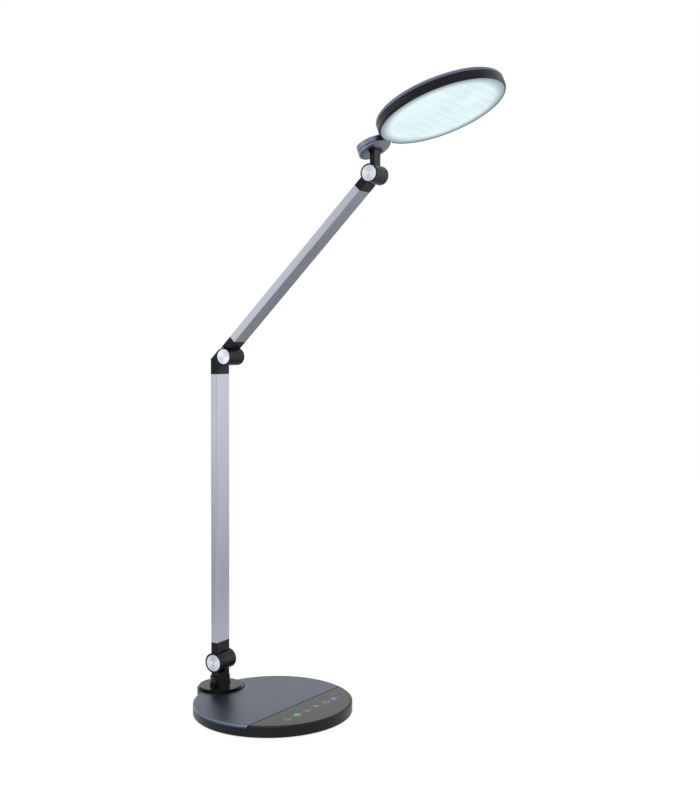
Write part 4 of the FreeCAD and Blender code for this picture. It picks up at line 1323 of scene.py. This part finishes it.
@dataclass(frozen=True)
class Studio:
    """Plain pale room: floor, soft lights and a camera at the photograph's angle."""

    camera_at: Triple = (-1.00583, -0.82758, 0.43978)
    yaw: float = -54.61
    pitch: float = 2.959
    focal_pixels: float = 1102.74
    long_side: float = 800.0
    sensor: float = 36.0
    clip_start: float = 0.01
    floor_side: float = 12.0
    floor_paper: Colour = (0.78, 0.78, 0.785)
    floor_seen: Colour = (0.26, 0.26, 0.26)
    floor_glow: float = 0.84
    cards: tuple[tuple[Triple, Pair], ...] = (
        ((0.95, 0.25, 0.002), (1.1, 1.2)),
        ((-0.7, 0.75, 0.002), (0.9, 0.9)),
    )
    card_paper: tuple[Colour, Colour] = ((0.45, 0.45, 0.46), (0.48, 0.48, 0.49))
    room_tint: Colour = (0.97, 0.98, 1.0)
    room_light: float = 0.62
    dark_side: float = 0.9
    dim_ends: Pair = (-0.95, -0.25)
    lights: tuple[SoftBox, ...] = (
        SoftBox("back_left_soft", (-1.5, 1.3, 0.62), (0, 0, 0.42), 1.3, 1.3, 0.6),
        SoftBox("front_right_soft", (1.3, -1.3, 0.75), (0, 0, 0.4), 1.2, 1.3, 0.98),
        SoftBox("front_soft", (-2.1, -1.6, 0.9), (0, 0, 0.3), 1.3, 1.1, 0.8),
        SoftBox("top_soft", (-0.3, 0.1, 2.2), (0, 0, 0.3), 1.8, 1.8, 1.2),
    )

    def build(self) -> None:
        """Make the floor, the lights, the background and the camera."""
        bpy.context.scene.view_settings.view_transform = "Standard"
        self._camera()
        self._floor()
        self._world()
        for at, size in self.cards:
            self._card(at, size)
        for light in self.lights:
            light.build()

    def _camera(self) -> None:
        """Make the camera."""
        data = bpy.data.cameras.new("view")
        data.sensor_width = self.sensor
        data.lens = self.focal_pixels / self.long_side * self.sensor
        data.clip_start = self.clip_start
        camera = placed("view", data)
        yaw, pitch = math.radians(self.yaw), math.radians(self.pitch)
        aim = Vector((-math.sin(yaw) * math.cos(pitch), math.cos(yaw) * math.cos(pitch), -math.sin(pitch)))
        camera.location = self.camera_at
        camera.rotation_euler = aim.to_track_quat("-Z", "Y").to_euler()
        bpy.context.scene.camera = camera

    def _sheet(self, name: str, at: Triple, size: Pair) -> bpy.types.Object:
        """Make a flat sheet.

        Args:
            name: Its name.
            at: Its middle.
            size: Its sides.

        Returns:
            The sheet.
        """
        form = bmesh.new()
        place = Matrix.Translation(at) @ Matrix.Diagonal((*size, 1, 1))
        bmesh.ops.create_grid(form, x_segments=1, y_segments=1, size=0.5, matrix=place)
        return solid(name, form)

    def _floor(self) -> None:
        """Make the floor: pale paper that camera and metal see as white, under the lamp's shadow."""
        floor = self._sheet("floor", (0, 0, 0), (self.floor_side, self.floor_side))
        graph = Graph("floor_paper")
        seen = self._seen(graph)
        graph.set(Base_Color=graph.blend(seen, self.floor_paper, self.floor_seen), Roughness=0.9)
        graph.set(Specular_IOR_Level=0.0, Emission_Color=(1.0, 1.0, 1.0))
        graph.set(Emission_Strength=graph.maths("MULTIPLY", seen, self.floor_glow))
        floor.data.materials.append(graph.material)

    def _card(self, at: Triple, size: Pair) -> None:
        """Lay a grey card on the floor, out of the camera's sight, to shade the metal that mirrors it.

        Args:
            at: Middle of the card.
            size: Its sides.
        """
        card = self._sheet("card", at, size)
        card.visible_camera = card.visible_diffuse = card.visible_shadow = False
        graph = Graph("card_paper")
        fleck = graph.noise(40.0, 2.0)
        graph.set(Base_Color=graph.blend(fleck, *self.card_paper), Roughness=0.9)
        card.data.materials.append(graph.material)

    def _seen(self, nodes: Nodes) -> Socket:
        """Return 1 for rays that show the background, straight or in metal and glass.

        Args:
            nodes: The tree that asks.

        Returns:
            1 or 0.
        """
        path = nodes.add("LightPath").outputs
        mirrored = nodes.maths("MAXIMUM", path["Is Camera Ray"], path["Is Glossy Ray"])
        return nodes.maths("MAXIMUM", mirrored, path["Is Transmission Ray"])

    def _world(self) -> None:
        """Make the room: even on the lamp, white behind it, and dimmer behind the camera in reflections."""
        world = bpy.data.worlds.new("room")
        bpy.context.scene.world = world
        world.use_nodes = True
        nodes = Nodes(world.node_tree)
        lit = nodes.add("Background", Color=self.room_tint, Strength=self.room_light)
        shown = nodes.add("Background", Color=(1.0, 1.0, 1.0), Strength=self._backdrop(nodes))
        mix = nodes.add("MixShader")
        for socket, value in zip(mix.inputs, (self._seen(nodes), lit.outputs[0], shown.outputs[0])):
            nodes.feed(socket, value)
        nodes.add("OutputWorld", Surface=mix.outputs[0])

    def _backdrop(self, nodes: Nodes) -> Socket:
        """Return the backdrop's strength: 1 to the camera, less on the room's dim side in reflections.

        Args:
            nodes: The world's nodes.

        Returns:
            The strength.
        """
        yaw = math.radians(self.yaw)
        direction = nodes.add("TexCoord").outputs["Generated"]
        facing = nodes.measure("DOT_PRODUCT", direction, (-math.sin(yaw), math.cos(yaw), 0.0))
        dimmed = nodes.span(facing, self.dim_ends, (self.dark_side, 1.0), True)
        return nodes.maths("MAXIMUM", nodes.add("LightPath").outputs["Is Camera Ray"], dimmed)


def main() -> None:
    """Build every sub-assembly in order."""
    logging.basicConfig(level=logging.INFO, format="%(message)s")
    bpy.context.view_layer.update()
    layout = Layout()
    shop = Shop()
    lower, upper = layout.lower(), layout.upper()
    # The swivel coat is the lighter slate, painted light.
    shell_coat, swivel_coat_painted_lighter = (
        Brushed(name, colour, 0.34, (1.0, 0.0, 0.0), lines=700.0, contrast=0.08)
        for name, colour in (("slate_shell", SHELL_SLATE), ("slate_swivel_painted_lighter", SWIVEL_SLATE_PAINTED_LIGHTER))
    )
    assemblies = (
        RoundBase(),
        TurningPost(),
        Arm(Body.LOWER_ARM, lower, (("base_hinge_cap", lower), ("elbow_cap", upper)), ()),
        Arm(Body.UPPER_ARM, upper, (("head_hinge_cap", layout.neck()),), ("elbow_rear_cap",)),
        NoddingNeck(layout.head(), swivel_coat_painted_lighter),
        LightHead(layout.light(), shell_coat, swivel_coat_painted_lighter),
    )
    for assembly in assemblies:
        assembly.build(shop)
        LOG.info("%s is done", type(assembly).__name__)
    Studio().build()


if __name__ == "__main__":
    main()
